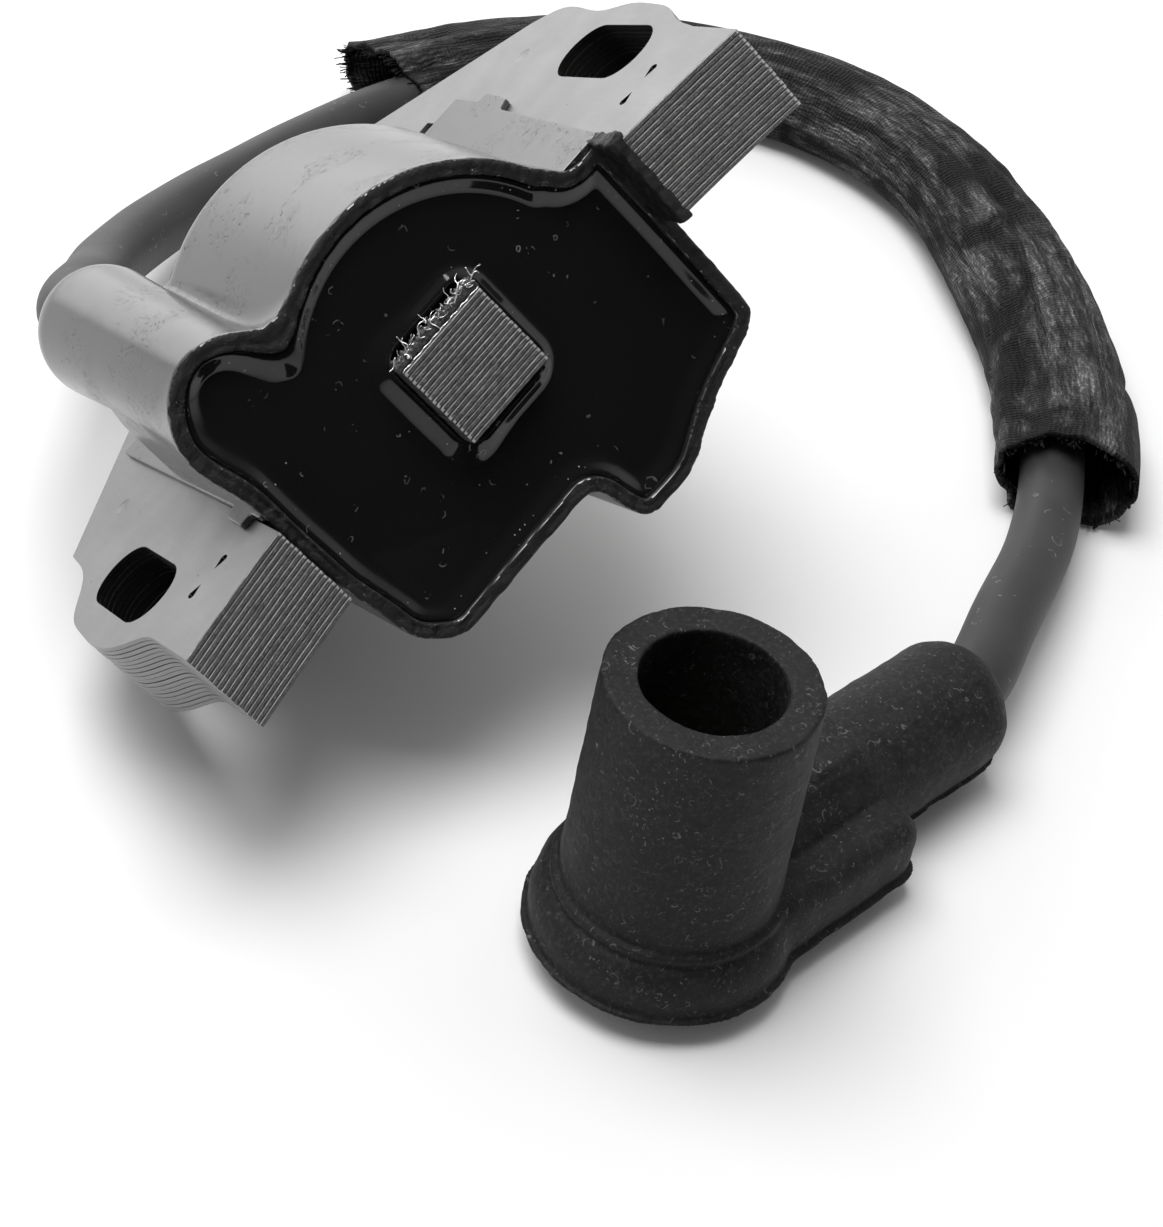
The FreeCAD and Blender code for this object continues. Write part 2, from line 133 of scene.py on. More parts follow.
def outline_field(u, v, loop):
    """Signed distance to a closed outline on a flat grid, negative inside."""
    nearest = np.full(u.shape, 1e9)
    inside = np.zeros(u.shape, bool)
    for (ax, ay), (bx, by) in zip(loop, np.roll(loop, -1, axis=0)):
        ex, ey = bx - ax, by - ay
        if ex * ex + ey * ey < 1e-9:
            continue
        t = np.clip(((u - ax) * ex + (v - ay) * ey) / (ex * ex + ey * ey), 0, 1)
        nearest = np.minimum(nearest, (u - ax - t * ex) ** 2 + (v - ay - t * ey) ** 2)
        if ay != by:
            inside ^= ((ay > v) != (by > v)) & (u < (v - ay) * ex / ey + ax)
    return np.where(inside, -1, 1) * np.sqrt(nearest)


def surface(field, low, step):
    """Vertices and quads of the zero level of a field."""
    inside = field < 0
    nx, ny, nz = (n - 1 for n in field.shape)
    count = sum(inside[a:nx + a, b:ny + b, c:nz + c].astype(np.int8)
                for a in (0, 1) for b in (0, 1) for c in (0, 1))
    active = (count > 0) & (count < 8)
    cells = np.argwhere(active)
    number = np.full(active.shape, -1)
    number[active] = np.arange(len(cells))
    total, hits = np.zeros((len(cells), 3)), np.zeros((len(cells), 1))
    for axis in range(3):
        unit = np.eye(3, dtype=int)[axis]
        u, v = (np.eye(3, dtype=int)[(axis + k) % 3] for k in (1, 2))
        for a in (0, 1):
            for b in (0, 1):
                first = cells + a * u + b * v
                f0, f1 = field[tuple(first.T)], field[tuple((first + unit).T)]
                cross = (f0 < 0) != (f1 < 0)
                t = f0[cross] / (f0[cross] - f1[cross])
                total[cross] += first[cross] + t[:, None] * unit
                hits[cross] += 1
    quads = []
    for axis in range(3):
        unit = np.eye(3, dtype=int)[axis]
        u, v = (np.eye(3, dtype=int)[(axis + k) % 3] for k in (1, 2))
        near = np.argwhere(np.take(inside, range(field.shape[axis] - 1), axis)
                           != np.take(inside, range(1, field.shape[axis]), axis))
        keep = (near @ u > 0) & (near @ v > 0) & (near @ u < field.shape[(axis + 1) % 3] - 1)
        near = near[keep & (near @ v < field.shape[(axis + 2) % 3] - 1)]
        ring = np.stack([number[tuple((near - s).T)] for s in (0 * u, u, u + v, v)], 1)
        flip = ~inside[tuple(near.T)]
        ring[flip] = ring[flip][:, ::-1]
        quads.append(ring)
    return np.array(low) + step * total / hits, np.concatenate(quads)


def new_mesh(name, vertices, faces, place=Matrix.Identity(4), smooth=True):
    """Mesh object from vertices in millimetres."""
    mesh = bpy.data.meshes.new(name)
    mesh.from_pydata(np.asarray(vertices, float) * MM, [], np.asarray(faces).tolist()
                     if isinstance(faces, np.ndarray) else faces)
    mesh.polygons.foreach_set("use_smooth", [smooth] * len(mesh.polygons))
    mesh.update()
    piece = bpy.data.objects.new(name, mesh)
    bpy.context.scene.collection.objects.link(piece)
    piece.matrix_world = place
    return piece


def field_mesh(name, field, low, step, place):
    vertices, quads = surface(field, low, step)
    return new_mesh(name, vertices, quads, place)


def waves(x, y, z, size, seed):
    """Smooth irregular ripple between about -1 and 1, with features of a size in mm."""
    turn = np.random.default_rng(seed)
    total = 0
    for _ in range(6):
        k = turn.normal(size=3)
        k = k / np.linalg.norm(k) * 2 * math.pi / (size * turn.uniform(0.7, 1.6))
        total = total + np.sin(x * k[0] + y * k[1] + z * k[2] + turn.uniform(0, 6.3))
    return total / 3


# ---- shader helpers ----
class Shader:
    """A material's node tree with short calls for the nodes used here.

    turn is how far the own axes of the pieces that wear it are turned from the coil axes.
    """

    def __init__(self, name, turn=0.0):
        self.material = bpy.data.materials.new(name)
        self.material.use_nodes = True
        self.tree = self.material.node_tree
        self.tree.nodes.clear()
        self.place = self.node("ShaderNodeTexCoord").outputs["Object"]
        if turn:
            self.place = self.stretch((1, 1, 1), (0, 0, turn))

    def node(self, kind, *values, **settings):
        """New node with these settings, its first inputs fed with the values."""
        made = self.tree.nodes.new(kind)
        for key, value in settings.items():
            setattr(made, key, value)
        for socket, value in zip(made.inputs, values):
            self.feed(socket, value)
        return made

    def feed(self, socket, value):
        if isinstance(value, bpy.types.NodeSocket):
            self.tree.links.new(value, socket)
        elif socket.type == "RGBA" and not hasattr(value, "__len__"):
            socket.default_value = (value, value, value, 1)
        else:
            socket.default_value = value

    def stretch(self, scale, turn=(0, 0, 0), source=None):
        return self.node("ShaderNodeMapping", source or self.place, (0, 0, 0), turn, scale).outputs[0]

    def noise(self, size, detail=4.0, rough=0.55, where=None, twist=0.0):
        """Noise with features of about this size in millimetres."""
        made = self.node("ShaderNodeTexNoise", where or self.place)
        made.inputs["Scale"].default_value = 1 / (size * MM)
        made.inputs["Detail"].default_value = detail
        made.inputs["Roughness"].default_value = rough
        made.inputs["Distortion"].default_value = twist
        return made.outputs[0]

    def cells(self, size, cover):
        """Distance from the middle of random cells, and 1 in the share of them that cover asks for."""
        made = self.node("ShaderNodeTexVoronoi", self.place)
        made.inputs["Scale"].default_value = 1 / (size * MM)
        return made.outputs["Distance"], self.math("LESS_THAN", made.outputs["Color"], cover)

    def lint(self, size, radius, width, cover):
        """Scattered short curved hairs: parts of thin rings, in some cells only."""
        distance, some = self.cells(size, cover)
        bent = self.plus(distance, self.times(self.noise(size * 0.8), 0.5))
        off = self.math("ABSOLUTE", self.minus(bent, radius + 0.25))
        line = self.ramp(off, (0.0, 1.0), (width, 0.0))
        part = self.ramp(self.noise(size * 0.45, 1), (0.54, 0.0), (0.58, 1.0))
        return self.times(self.times(line, some), part)

    def specks(self, size, radius, cover):
        """Scattered dots, in some cells only."""
        distance, some = self.cells(size, cover)
        return self.times(self.ramp(distance, (radius * 0.5, 1.0), (radius, 0.0)), some)

    def ramp(self, value, *stops):
        """Grey level for a value, from (position, grey) stops."""
        made = self.node("ShaderNodeValToRGB", value)
        points = made.color_ramp.elements
        while len(points) < len(stops):
            points.new(0.5)
        for point, (position, grey) in zip(points, stops):
            point.position = position
            point.color = (grey, grey, grey, 1)
        return made.outputs[0]

    def math(self, kind, a, b=0.0):
        return self.node("ShaderNodeMath", a, b, operation=kind).outputs[0]

    def times(self, a, b):
        return self.math("MULTIPLY", a, b)

    def most(self, a, b):
        return self.math("MAXIMUM", a, b)

    def plus(self, a, b):
        return self.math("ADD", a, b)

    def minus(self, a, b):
        return self.math("SUBTRACT", a, b)

    def mix(self, share, a, b):
        made = self.node("ShaderNodeMix", data_type="RGBA")
        self.feed(made.inputs[0], share)
        self.feed(made.inputs[6], a)
        self.feed(made.inputs[7], b)
        return made.outputs[2]

    def bump(self, height, depth):
        """Normal from a height of 0 to 1 that stands for a depth in millimetres."""
        made = self.node("ShaderNodeBump")
        made.inputs["Strength"].default_value = 1.0
        made.inputs["Distance"].default_value = depth * MM
        self.feed(made.inputs["Height"], height)
        return made.outputs[0]

    def finish(self, colour, roughness, metallic=0.0, normal=None, specular=0.5, **others):
        made = self.node("ShaderNodeBsdfPrincipled")
        self.feed(made.inputs["Base Color"], colour)
        self.feed(made.inputs["Roughness"], roughness)
        self.feed(made.inputs["Metallic"], metallic)
        self.feed(made.inputs["Specular IOR Level"], specular)
        if normal:
            self.feed(made.inputs["Normal"], normal)
        for key, value in others.items():
            self.feed(made.inputs[key.replace("_", " ")], value)
        out = self.node("ShaderNodeOutputMaterial")
        self.tree.links.new(made.outputs[0], out.inputs[0])
        return self.material


def tinted(grey, warm=0.0):
    """Nearly neutral colour: the object is black, grey and bare metal."""
    return (grey * (1 + warm), grey, grey * (1 - warm), 1)


# ---- materials ----
def core_steel():
    """Satin electrical steel: even, faintly clouded and brushed, with a few dark specks."""
    s = Shader("core_steel", LEVEL)
    cloud = s.ramp(s.noise(9, 7, 0.6), (0.3, 0.215), (0.7, 0.255))
    brushed = s.noise(0.30, 3, where=s.stretch((1, 0.10, 1)))
    colour = s.mix(s.ramp(brushed, (0.35, 0.0), (0.65, 0.2)), cloud, 0.19)
    specks = s.most(s.specks(2.4, 0.07, 0.5), s.ramp(s.noise(1.4, 3), (0.76, 0.0), (0.82, 0.7)))
    colour = s.mix(specks, colour, tinted(0.10, 0.1))
    return s.finish(colour, s.ramp(s.noise(5, 5), (0.3, 0.40), (0.7, 0.48)), 0.85,
                    s.bump(brushed, 0.004))


def close_to(s, value, place):
    """1 within a quarter of a millimetre of a place, given in mm."""
    off = s.math("ABSOLUTE", s.minus(value, place * MM))
    return s.math("LESS_THAN", off, 0.25 * MM)


def pole_steel():
    """Ground ends of the laminations: dark grey, streaked, with a bright line along each joint that is
    partly real burrs and partly painted highlight, and painted highlight along the face's edges and the
    stack's top edge.
    """
    s = Shader("pole_steel", LEVEL)
    split = s.node("ShaderNodeSeparateXYZ", s.place)
    level = s.math("DIVIDE", s.plus(split.outputs[2], STACK / 2 * MM), PITCH * MM)
    level = s.plus(level, s.times(s.minus(s.noise(1.6, 2), 0.5), 0.12))
    phase = s.math("FRACT", level)
    streak = s.noise(0.07, 2, 0.6, where=s.stretch((0.14, 1, 1)))
    grain = s.noise(0.09, 4, 0.75)
    colour = s.ramp(s.noise(2.6, 5), (0.3, 0.05), (0.7, 0.11))
    colour = s.mix(s.ramp(grain, (0.42, 0.0), (0.66, 0.9)), colour, 0.30)
    colour = s.mix(s.ramp(streak, (0.50, 0.0), (0.66, 0.6)), colour, 0.50)
    broken = s.ramp(s.noise(0.7, 3, where=s.stretch((0.35, 1, 1))), (0.38, 0.25), (0.52, 1.0))
    # Bright line near the top of each plate: partly real burrs, partly painted highlight where the plate's
    # rounded edge catches the light.
    burr_and_highlight = s.times(broken, s.ramp(phase, (0.71, 0.0), (0.75, 1.0), (0.79, 1.0), (0.82, 0.0)))
    side = s.math("ABSOLUTE", split.outputs[0])
    edges = s.most(close_to(s, side, POLE_HALF), close_to(s, split.outputs[0], LEG_OUT))
    edges = s.most(edges, close_to(s, split.outputs[0], -LEG_IN))
    # Painted highlight on each plate's rounded corner along the pole face's edges.
    edge_highlight = s.times(edges, s.ramp(phase, (0.15, 0.0), (0.3, 1.0), (0.65, 1.0), (0.8, 0.0)))
    burr_and_highlight = s.most(burr_and_highlight, s.times(edge_highlight, 0.8))
    # Painted highlight along the top edge of the lamination stack, joined to the bright joint lines.
    top = s.ramp(s.math("DIVIDE", split.outputs[2], STACK / 2 * MM), (0.965, 0.0), (0.98, 0.9))
    burr_and_highlight = s.most(burr_and_highlight, top)
    colour = s.mix(burr_and_highlight, colour, 0.95)
    gap = s.ramp(phase, (0.0, 1.0), (0.07, 1.0), (0.12, 0.0), (0.83, 0.0), (0.87, 1.0))
    colour = s.mix(gap, colour, 0.004)
    spots = s.ramp(s.noise(1.9, 4, 0.7), (0.68, 0.0), (0.73, 0.8))
    colour = s.mix(spots, colour, tinted(0.035, 0.1))
    rough = s.mix(burr_and_highlight, s.ramp(streak, (0.3, 0.42), (0.7, 0.6)), 0.35)
    height = s.minus(s.plus(s.times(streak, 0.3), burr_and_highlight), gap)
    return s.finish(colour, rough, 0.8, s.bump(height, 0.04))


def case_plastic():
    """Glossy black moulding with fine scratches, scuffs and pits."""
    s = Shader("case_plastic", LEVEL)
    scratch = s.ramp(s.noise(0.16, 2, where=s.stretch((1, 0.05, 1), (0.2, 0, 0.5))), (0.74, 0), (0.80, 1))
    scuff = s.ramp(s.noise(6, 6, 0.6), (0.5, 0.0), (0.75, 1.0))
    pits = s.times(s.ramp(s.noise(0.55, 3, 0.6, twist=1.5), (0.61, 0.0), (0.65, 1.0)),
                  s.ramp(s.noise(6.5, 3), (0.52, 0.0), (0.58, 1.0)))
    rough = s.mix(scuff, 0.20, 0.30)
    rough = s.mix(s.times(scratch, 0.5), rough, 0.5)
    colour = s.mix(s.most(scratch, pits), 0.016, 0.008)
    height = s.minus(s.times(s.noise(7, 2), 0.25), s.times(pits, 1.6))
    return s.finish(colour, rough, 0.0, s.bump(height, 0.10), IOR=1.75, specular=0.6)


def rim_plastic():
    """Trimmed edge of the case: the same black, with the marks of the knife."""
    s = Shader("rim_plastic", LEVEL)
    torn = s.noise(0.35, 6, 0.7)
    colour = s.mix(s.specks(1.2, 0.10, 0.45), s.ramp(torn, (0.3, 0.003), (0.8, 0.010)), 0.12)
    return s.finish(colour, 0.36, 0.0, s.bump(torn, 0.22), specular=0.3)


def potting_black():
    """Deep glossy resin with dust and lint settled on it."""
    s = Shader("potting_black", LEVEL)
    sparse = s.ramp(s.noise(7, 2), (0.42, 0.30), (0.58, 1.0))
    hairs = s.most(s.lint(3.6, 0.30, 0.014, 0.36), s.lint(1.6, 0.30, 0.026, 0.36))
    dots = s.most(s.specks(1.5, 0.075, 0.55), s.specks(0.8, 0.10, 0.45))
    marks = s.times(s.most(s.times(hairs, 0.45), dots), sparse)
    return s.finish(s.mix(marks, 0.009, 0.50), s.mix(marks, 0.06, 0.8), 0.0,
                    s.bump(s.noise(9, 1), 0.04), specular=0.45)


def lead_rubber():
    """Satin dark grey rubber cover with dust and rubbed streaks."""
    s = Shader("lead_rubber")
    rubbed = s.ramp(s.noise(8, 6, 0.6), (0.35, 0.0), (0.75, 1.0))
    scratch = s.ramp(s.noise(0.2, 2, where=s.stretch((1, 0.08, 1), (0, 0, 0.6))), (0.74, 0.0), (0.82, 0.5))
    colour = s.mix(rubbed, 0.024, 0.036)
    colour = s.mix(scratch, colour, 0.05)
    colour = s.mix(s.times(s.specks(1.1, 0.09, 0.30), 0.7), colour, 0.22)
    colour = s.mix(s.times(s.lint(2.2, 0.3, 0.03, 0.35), 0.6), colour, 0.25)
    return s.finish(colour, s.mix(rubbed, 0.50, 0.62), 0.0, s.bump(s.noise(0.5, 4), 0.02),
                    specular=0.3)


def sleeve_fabric():
    """Black glass-fibre braid: fine crossing yarns, flecked and lighter where worn."""
    s = Shader("sleeve_fabric")
    uv = s.node("ShaderNodeUVMap", uv_map="braid").outputs[0]
    split = s.node("ShaderNodeSeparateXYZ", uv)
    loose = s.times(s.noise(3, 2), 1.6 * MM)
    along = s.plus(split.outputs[0], loose)
    around = s.plus(split.outputs[1], loose)
    turn = 2 * math.pi / MM
    left = s.math("SINE", s.times(s.plus(along, around), turn))
    right = s.math("SINE", s.times(s.minus(along, around), turn))
    weave = s.times(s.plus(s.times(left, right), 1.0), 0.5)
    hair = s.noise(0.30, 4, 0.75, where=s.stretch((0.22, 1, 1), source=uv))
    fold = s.noise(2.4, 5, 0.65, where=s.stretch((0.22, 1, 1), source=uv), twist=0.5)
    patches = s.noise(7.5, 5, 0.6, where=s.stretch((0.6, 1, 1), source=uv), twist=0.8)
    worn = s.ramp(patches, (0.42, 0.0), (0.60, 1.0))
    streaks = s.ramp(s.noise(1.2, 4, where=s.stretch((0.10, 1, 1), source=uv)), (0.42, 0.15), (0.58, 1.0))
    pale = s.times(s.times(worn, streaks), s.ramp(fold, (0.36, 0.4), (0.60, 1.0)))
    fleck = s.times(s.ramp(hair, (0.50, 0.0), (0.68, 1.0)), pale)
    colour = s.mix(weave, 0.002, 0.007)
    colour = s.mix(s.times(pale, 0.85), colour, 0.085)
    colour = s.mix(s.times(fleck, 0.8), colour, 0.36)
    yarns = s.plus(s.times(weave, 0.4), s.times(hair, 0.3))
    height = s.plus(yarns, fold)
    return s.finish(colour, 0.62, 0.0, s.bump(height, 0.6), specular=0.12)


def boot_rubber():
    """Matt black rubber with a grey bloom, dense dust and short curved lint."""
    s = Shader("boot_rubber")
    bloom = s.ramp(s.noise(3.2, 8, 0.68, twist=0.5), (0.40, 0.0), (0.70, 1.0))
    mottle = s.ramp(s.noise(0.5, 5, 0.75), (0.50, 0.0), (0.72, 1.0))
    patch = s.ramp(s.noise(8, 3), (0.42, 0.25), (0.6, 1.0))
    colour = s.mix(bloom, 0.004, 0.013)
    colour = s.mix(s.times(mottle, 0.6), colour, 0.045)
    dots = s.most(s.specks(0.75, 0.16, 0.40), s.specks(0.42, 0.16, 0.35))
    hairs = s.most(s.lint(1.7, 0.32, 0.045, 0.6), s.lint(1.0, 0.3, 0.06, 0.45))
    dust = s.times(s.most(dots, hairs), patch)
    colour = s.mix(s.times(dust, 0.55), colour, 0.20)
    height = s.plus(s.noise(0.6, 5, 0.7), s.times(bloom, 0.4))
    return s.finish(colour, s.mix(bloom, 0.58, 0.75), 0.0, s.bump(height, 0.07),
                    specular=0.22)


def strip_metal():
    """Dull mottled strip beside the centre pole."""
    s = Shader("strip_metal", LEVEL)
    torn = s.noise(0.35, 5, 0.7)
    return s.finish(s.ramp(torn, (0.35, 0.02), (0.7, 0.16)), 0.5, 0.6, s.bump(torn, 0.08))


def plain_metal(name, grey, warm, rough):
    s = Shader(name)
    cloud = s.noise(2.5, 5)
    colour = s.mix(cloud, tinted(grey * 0.75, warm), tinted(grey, warm))
    return s.finish(colour, s.mix(cloud, rough, rough + 0.15), 1.0, s.bump(s.noise(0.3, 3), 0.01))


def plain_plastic(name, grey, warm, rough):
    s = Shader(name)
    cloud = s.noise(2.0, 5)
    colour = s.mix(cloud, tinted(grey * 0.7, warm), tinted(grey, warm))
    return s.finish(colour, s.mix(cloud, rough, rough + 0.15), 0.0, s.bump(s.noise(0.4, 4), 0.03))


def wound_wire():
    """Enamelled copper laid in turns."""
    s = Shader("copper_wire")
    turns = s.node("ShaderNodeTexWave", s.place, bands_direction="Y")
    turns.inputs["Scale"].default_value = 900
    turns.inputs["Distortion"].default_value = 0.4
    colour = s.mix(turns.outputs[1], (0.20, 0.06, 0.02, 1), (0.72, 0.30, 0.14, 1))
    return s.finish(colour, 0.3, 1.0, s.bump(turns.outputs[1], 0.08))


MATERIALS = {
    "core_steel": core_steel(),
    "wedge": strip_metal(),
    "case_plastic": case_plastic(),
    "potting": potting_black(),
    "bobbin": plain_plastic("bobbin", 0.45, 0.08, 0.5),
    "copper_wire": wound_wire(),
    "board": plain_plastic("board", 0.10, -0.3, 0.45),
    "component": plain_plastic("component", 0.03, 0.0, 0.4),
    "terminal_metal": plain_metal("terminal_metal", 0.62, 0.25, 0.25),
    "lead_rubber": lead_rubber(),
    "sleeve_fabric": sleeve_fabric(),
    "boot_rubber": boot_rubber(),
    "spring_steel": plain_metal("spring_steel", 0.55, 0.0, 0.25),
}
POLE_STEEL = pole_steel()
# Near-black metal for the walls and floors of the stamped pits and the mounting slots: painted shade in
# these recesses.
PIT_SHADE = plain_metal("painted_pit_shade", 0.018, 0.05, 0.65)
RIM = rim_plastic()
SHREDS = plain_metal("shreds", 0.95, 0.0, 0.2)


def dress(piece, slot, body, *nodes):
    """Give a piece the material its slot names, put it on its body, and hide the CAD nodes it stands for.
    """
    piece.data.materials.clear()
    piece.data.materials.append(MATERIALS[slot])
    if body:
        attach(piece, body)
    if nodes:
        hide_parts(*nodes)
    return piece


# ---- tubes along paths ----
def spline(points, start=None, end=None, count=400):
    """Smooth curve through the points, evenly sampled; ends may be given a heading."""
    points = np.array(points, float)
    knots = np.concatenate([[0], np.cumsum(np.linalg.norm(np.diff(points, axis=0), axis=1))])
    h = np.diff(knots)[:, None]
    n = len(points)
    system, right = np.zeros((n, n)), np.zeros((n, 3))
    slopes = np.diff(points, axis=0) / h
    system[0, 0] = system[-1, -1] = 1
    right[0] = slopes[0] if start is None else start
    right[-1] = slopes[-1] if end is None else end
    for i in range(1, n - 1):
        a, b = h[i - 1, 0], h[i, 0]
        system[i, i - 1:i + 2] = b, 2 * (a + b), a
        right[i] = 3 * (b * slopes[i - 1] + a * slopes[i])
    tangents = np.linalg.solve(system, right)
    samples = np.linspace(0, knots[-1], count)
    k = np.clip(np.searchsorted(knots, samples, side="right") - 1, 0, n - 2)
    width = h[k]
    t = ((samples - knots[k]) / width[:, 0])[:, None]
    return ((2 * t ** 3 - 3 * t ** 2 + 1) * points[k] + (t ** 3 - 2 * t ** 2 + t) * width * tangents[k]
            + (-2 * t ** 3 + 3 * t ** 2) * points[k + 1] + (t ** 3 - t ** 2) * width * tangents[k + 1])


def frames_along(path):
    """Unit tangent, sideways and upward direction at every point of a path."""
    tangent = np.gradient(path, axis=0)
    tangent /= np.linalg.norm(tangent, axis=1, keepdims=True)
    side = np.cross(tangent, (0, 0, 1.0))
    side /= np.maximum(np.linalg.norm(side, axis=1, keepdims=True), 1e-6)
    return tangent, side, np.cross(side, tangent)


def ring_faces(rings, sides):
    """Quads between each ring of points and the next."""
    faces = []
    for i in range(rings - 1):
        for j in range(sides):
            a, b = i * sides + j, i * sides + (j + 1) % sides
            faces.append((a, b, b + sides, a + sides))
    return faces


def tube_mesh(path, radius, sides):
    """Closed round tube; the radius may change along it."""
    _, side, up = frames_along(path)
    radius = np.broadcast_to(radius, len(path))
    turn = np.linspace(0, 2 * math.pi, sides, endpoint=False)
    rings = (path[:, None] + radius[:, None, None] * (np.cos(turn)[None, :, None] * side[:, None]
                                                      + np.sin(turn)[None, :, None] * up[:, None]))
    last = (len(path) - 1) * sides
    ends = [tuple(range(sides))[::-1], tuple(range(last, last + sides))]
    return rings.reshape(-1, 3), ring_faces(len(path), sides) + ends


# ---- core ----
FLYWHEEL_R = 118.0
WINDOW_END, CORE_BACK = 43.5, 58.0
SLOT_X, SLOT_R, SLOT_RUN = 33.4, 3.4, 8.8
PLATES, PLATE = round(STACK / PITCH), 0.46
LOWEST_PLATE = -STACK / 2 + 0.25
CORE_TOP = LOWEST_PLATE + (PLATES - 1) * PITCH + PLATE / 2
STAMP_Y = 3.7
RIGHT_EAR = [(36.7, 3.0), (37.6, 7.6), (39.0, 11.0), (39.6, 15.0), (39.6, 21.0), (38.8, 25.0),
             (39.2, 31.0), (38.9, 36.0), (37.0, 39.5)]
LEFT_EAR = [(-34.6, 36.2), (-35.2, 31.0), (-36.6, 27.8), (-39.3, 23.6), (-40.0, 19.4),
            (-39.9, 12.0), (-38.4, 8.4), (-36.8, 5.4), (-36.5, 1.0)]
STAMPS = [(side * x, STAMP_Y, side * heading) for side in (-1, 1) for x, heading in ((31.5, -1), (27.3, 1))]
DIMPLES = [(32.5, 34.6), (-27.8, 34.8)]


def pole_face(x0, x1):
    """Points of a pole face between two x: it follows the flywheel."""
    return [(x, math.sqrt(FLYWHEEL_R ** 2 - x ** 2) - FLYWHEEL_R) for x in np.linspace(x0, x1, 7)]


def smooth_run(points):
    """Curve through some points of the core's outline."""
    path = spline([(x, y, 0) for x, y in points], count=8 * len(points))
    return [(x, y) for x, y, _ in path]


def core_outline():
    left_window = [(-LEG_IN, WINDOW_END), (-POLE_HALF, WINDOW_END), (-POLE_HALF, 0.0)]
    right_window = [(POLE_HALF, 0.0), (POLE_HALF, WINDOW_END), (LEG_IN, WINDOW_END)]
    return (pole_face(LEG_IN, LEG_OUT) + smooth_run(RIGHT_EAR) + [(21.6, CORE_BACK), (-12.6, CORE_BACK)]
            + smooth_run(LEFT_EAR) + pole_face(-LEG_OUT, -LEG_IN) + left_window + right_window)


def slot_outline(x):
    loop = []
    for side in (1, -1):
        for angle in np.linspace(0, math.pi, 17):
            loop.append((x + side * SLOT_R * math.cos(angle),
                         SLOT_Y + side * (SLOT_RUN / 2 + SLOT_R * math.sin(angle))))
    return loop


def joined(parts):
    """One list of vertices and one of faces from several (vertices, faces)."""
    vertices, faces = [], []
    for points, polygons in parts:
        faces += [[i + len(vertices) for i in polygon] for polygon in polygons]
        vertices += [tuple(p) for p in points]
    return vertices, faces


def clean_solid(piece, bevel=0.0, segments=2):
    """Merge a mesh's seams, dissolve its flat triangles and round its sharp edges."""
    bm = bmesh.new()
    bm.from_mesh(piece.data)
    bmesh.ops.remove_doubles(bm, verts=bm.verts, dist=0.002 * MM)
    bmesh.ops.recalc_face_normals(bm, faces=bm.faces)
    if bevel:
        bmesh.ops.dissolve_limit(bm, angle_limit=math.radians(2), verts=bm.verts, edges=bm.edges)
        sharp = [e for e in bm.edges if e.is_manifold and e.calc_face_angle(0) > math.radians(35)]
        bmesh.ops.bevel(bm, geom=sharp, offset=bevel * MM, segments=segments, profile=0.5,
                        affect="EDGES", clamp_overlap=True)
    bm.to_mesh(piece.data)
    bm.free()
    return piece


def apply_modifiers(piece):
    graph = bpy.context.evaluated_depsgraph_get()
    mesh = bpy.data.meshes.new_from_object(piece.evaluated_get(graph))
    piece.modifiers.clear()
    piece.data = mesh
    return piece


def plate(loops, thickness, edge):
    """Flat plate with rounded edges from an outline and its holes: (vertices in mm, faces)."""
    flat = bpy.data.curves.new("plate", "CURVE")
    flat.dimensions, flat.fill_mode = "2D", "BOTH"
    flat.extrude, flat.bevel_depth, flat.bevel_resolution = thickness / 2 - edge, edge, 1
    flat.offset = -edge
    for loop in loops:
        line = flat.splines.new("POLY")
        line.points.add(len(loop) - 1)
        line.use_cyclic_u = True
        for point, (x, y) in zip(line.points, loop):
            point.co = (x, y, 0, 1)
    holder = bpy.data.objects.new("plate", flat)
    bpy.context.scene.collection.objects.link(holder)
    mesh = bpy.data.meshes.new_from_object(holder.evaluated_get(bpy.context.evaluated_depsgraph_get()))
    vertices = np.array([v.co for v in mesh.vertices])
    faces = [list(face.vertices) for face in mesh.polygons]
    bpy.data.objects.remove(holder)
    return vertices, faces


def prism(loop, z0, z1):
    """Outline raised from one height to another: (vertices, faces)."""
    n = len(loop)
    sides = [[i, (i + 1) % n, n + (i + 1) % n, n + i] for i in range(n)]
    return ([(x, y, z0) for x, y in loop] + [(x, y, z1) for x, y in loop],
            sides + [list(range(n))[::-1], list(range(n, 2 * n))])


def teardrop(x, y, heading):
    """Outline of an interlocking stamp: round at one end, pointed at the other."""
    head = [(-0.42 * math.sin(a), 0.52 * math.cos(a)) for a in np.linspace(0, math.pi, 12)]
    loop = [(x + heading * u, y + v) for u, v in head + [(0.4, -0.36), (1.25, 0.0), (0.4, 0.36)]]
    return loop[::heading]


def dent(x, y, radius, depth):
    """Ball that leaves a shallow round dent in the top plate."""
    ball = (radius ** 2 + depth ** 2) / (2 * depth)
    vertices = []
    rings, sides = 24, 32
    for i in range(rings + 1):
        polar = math.pi * (0.002 + 0.996 * i / rings)
        for j in range(sides):
            turn = 2 * math.pi * j / sides
            vertices.append((x + ball * math.sin(polar) * math.cos(turn),
                             y + ball * math.sin(polar) * math.sin(turn),
                             CORE_TOP + ball - depth + ball * math.cos(polar)))
    ends = [list(range(sides))[::-1], list(range(rings * sides, (rings + 1) * sides))]
    return vertices, ring_faces(rings + 1, sides) + ends


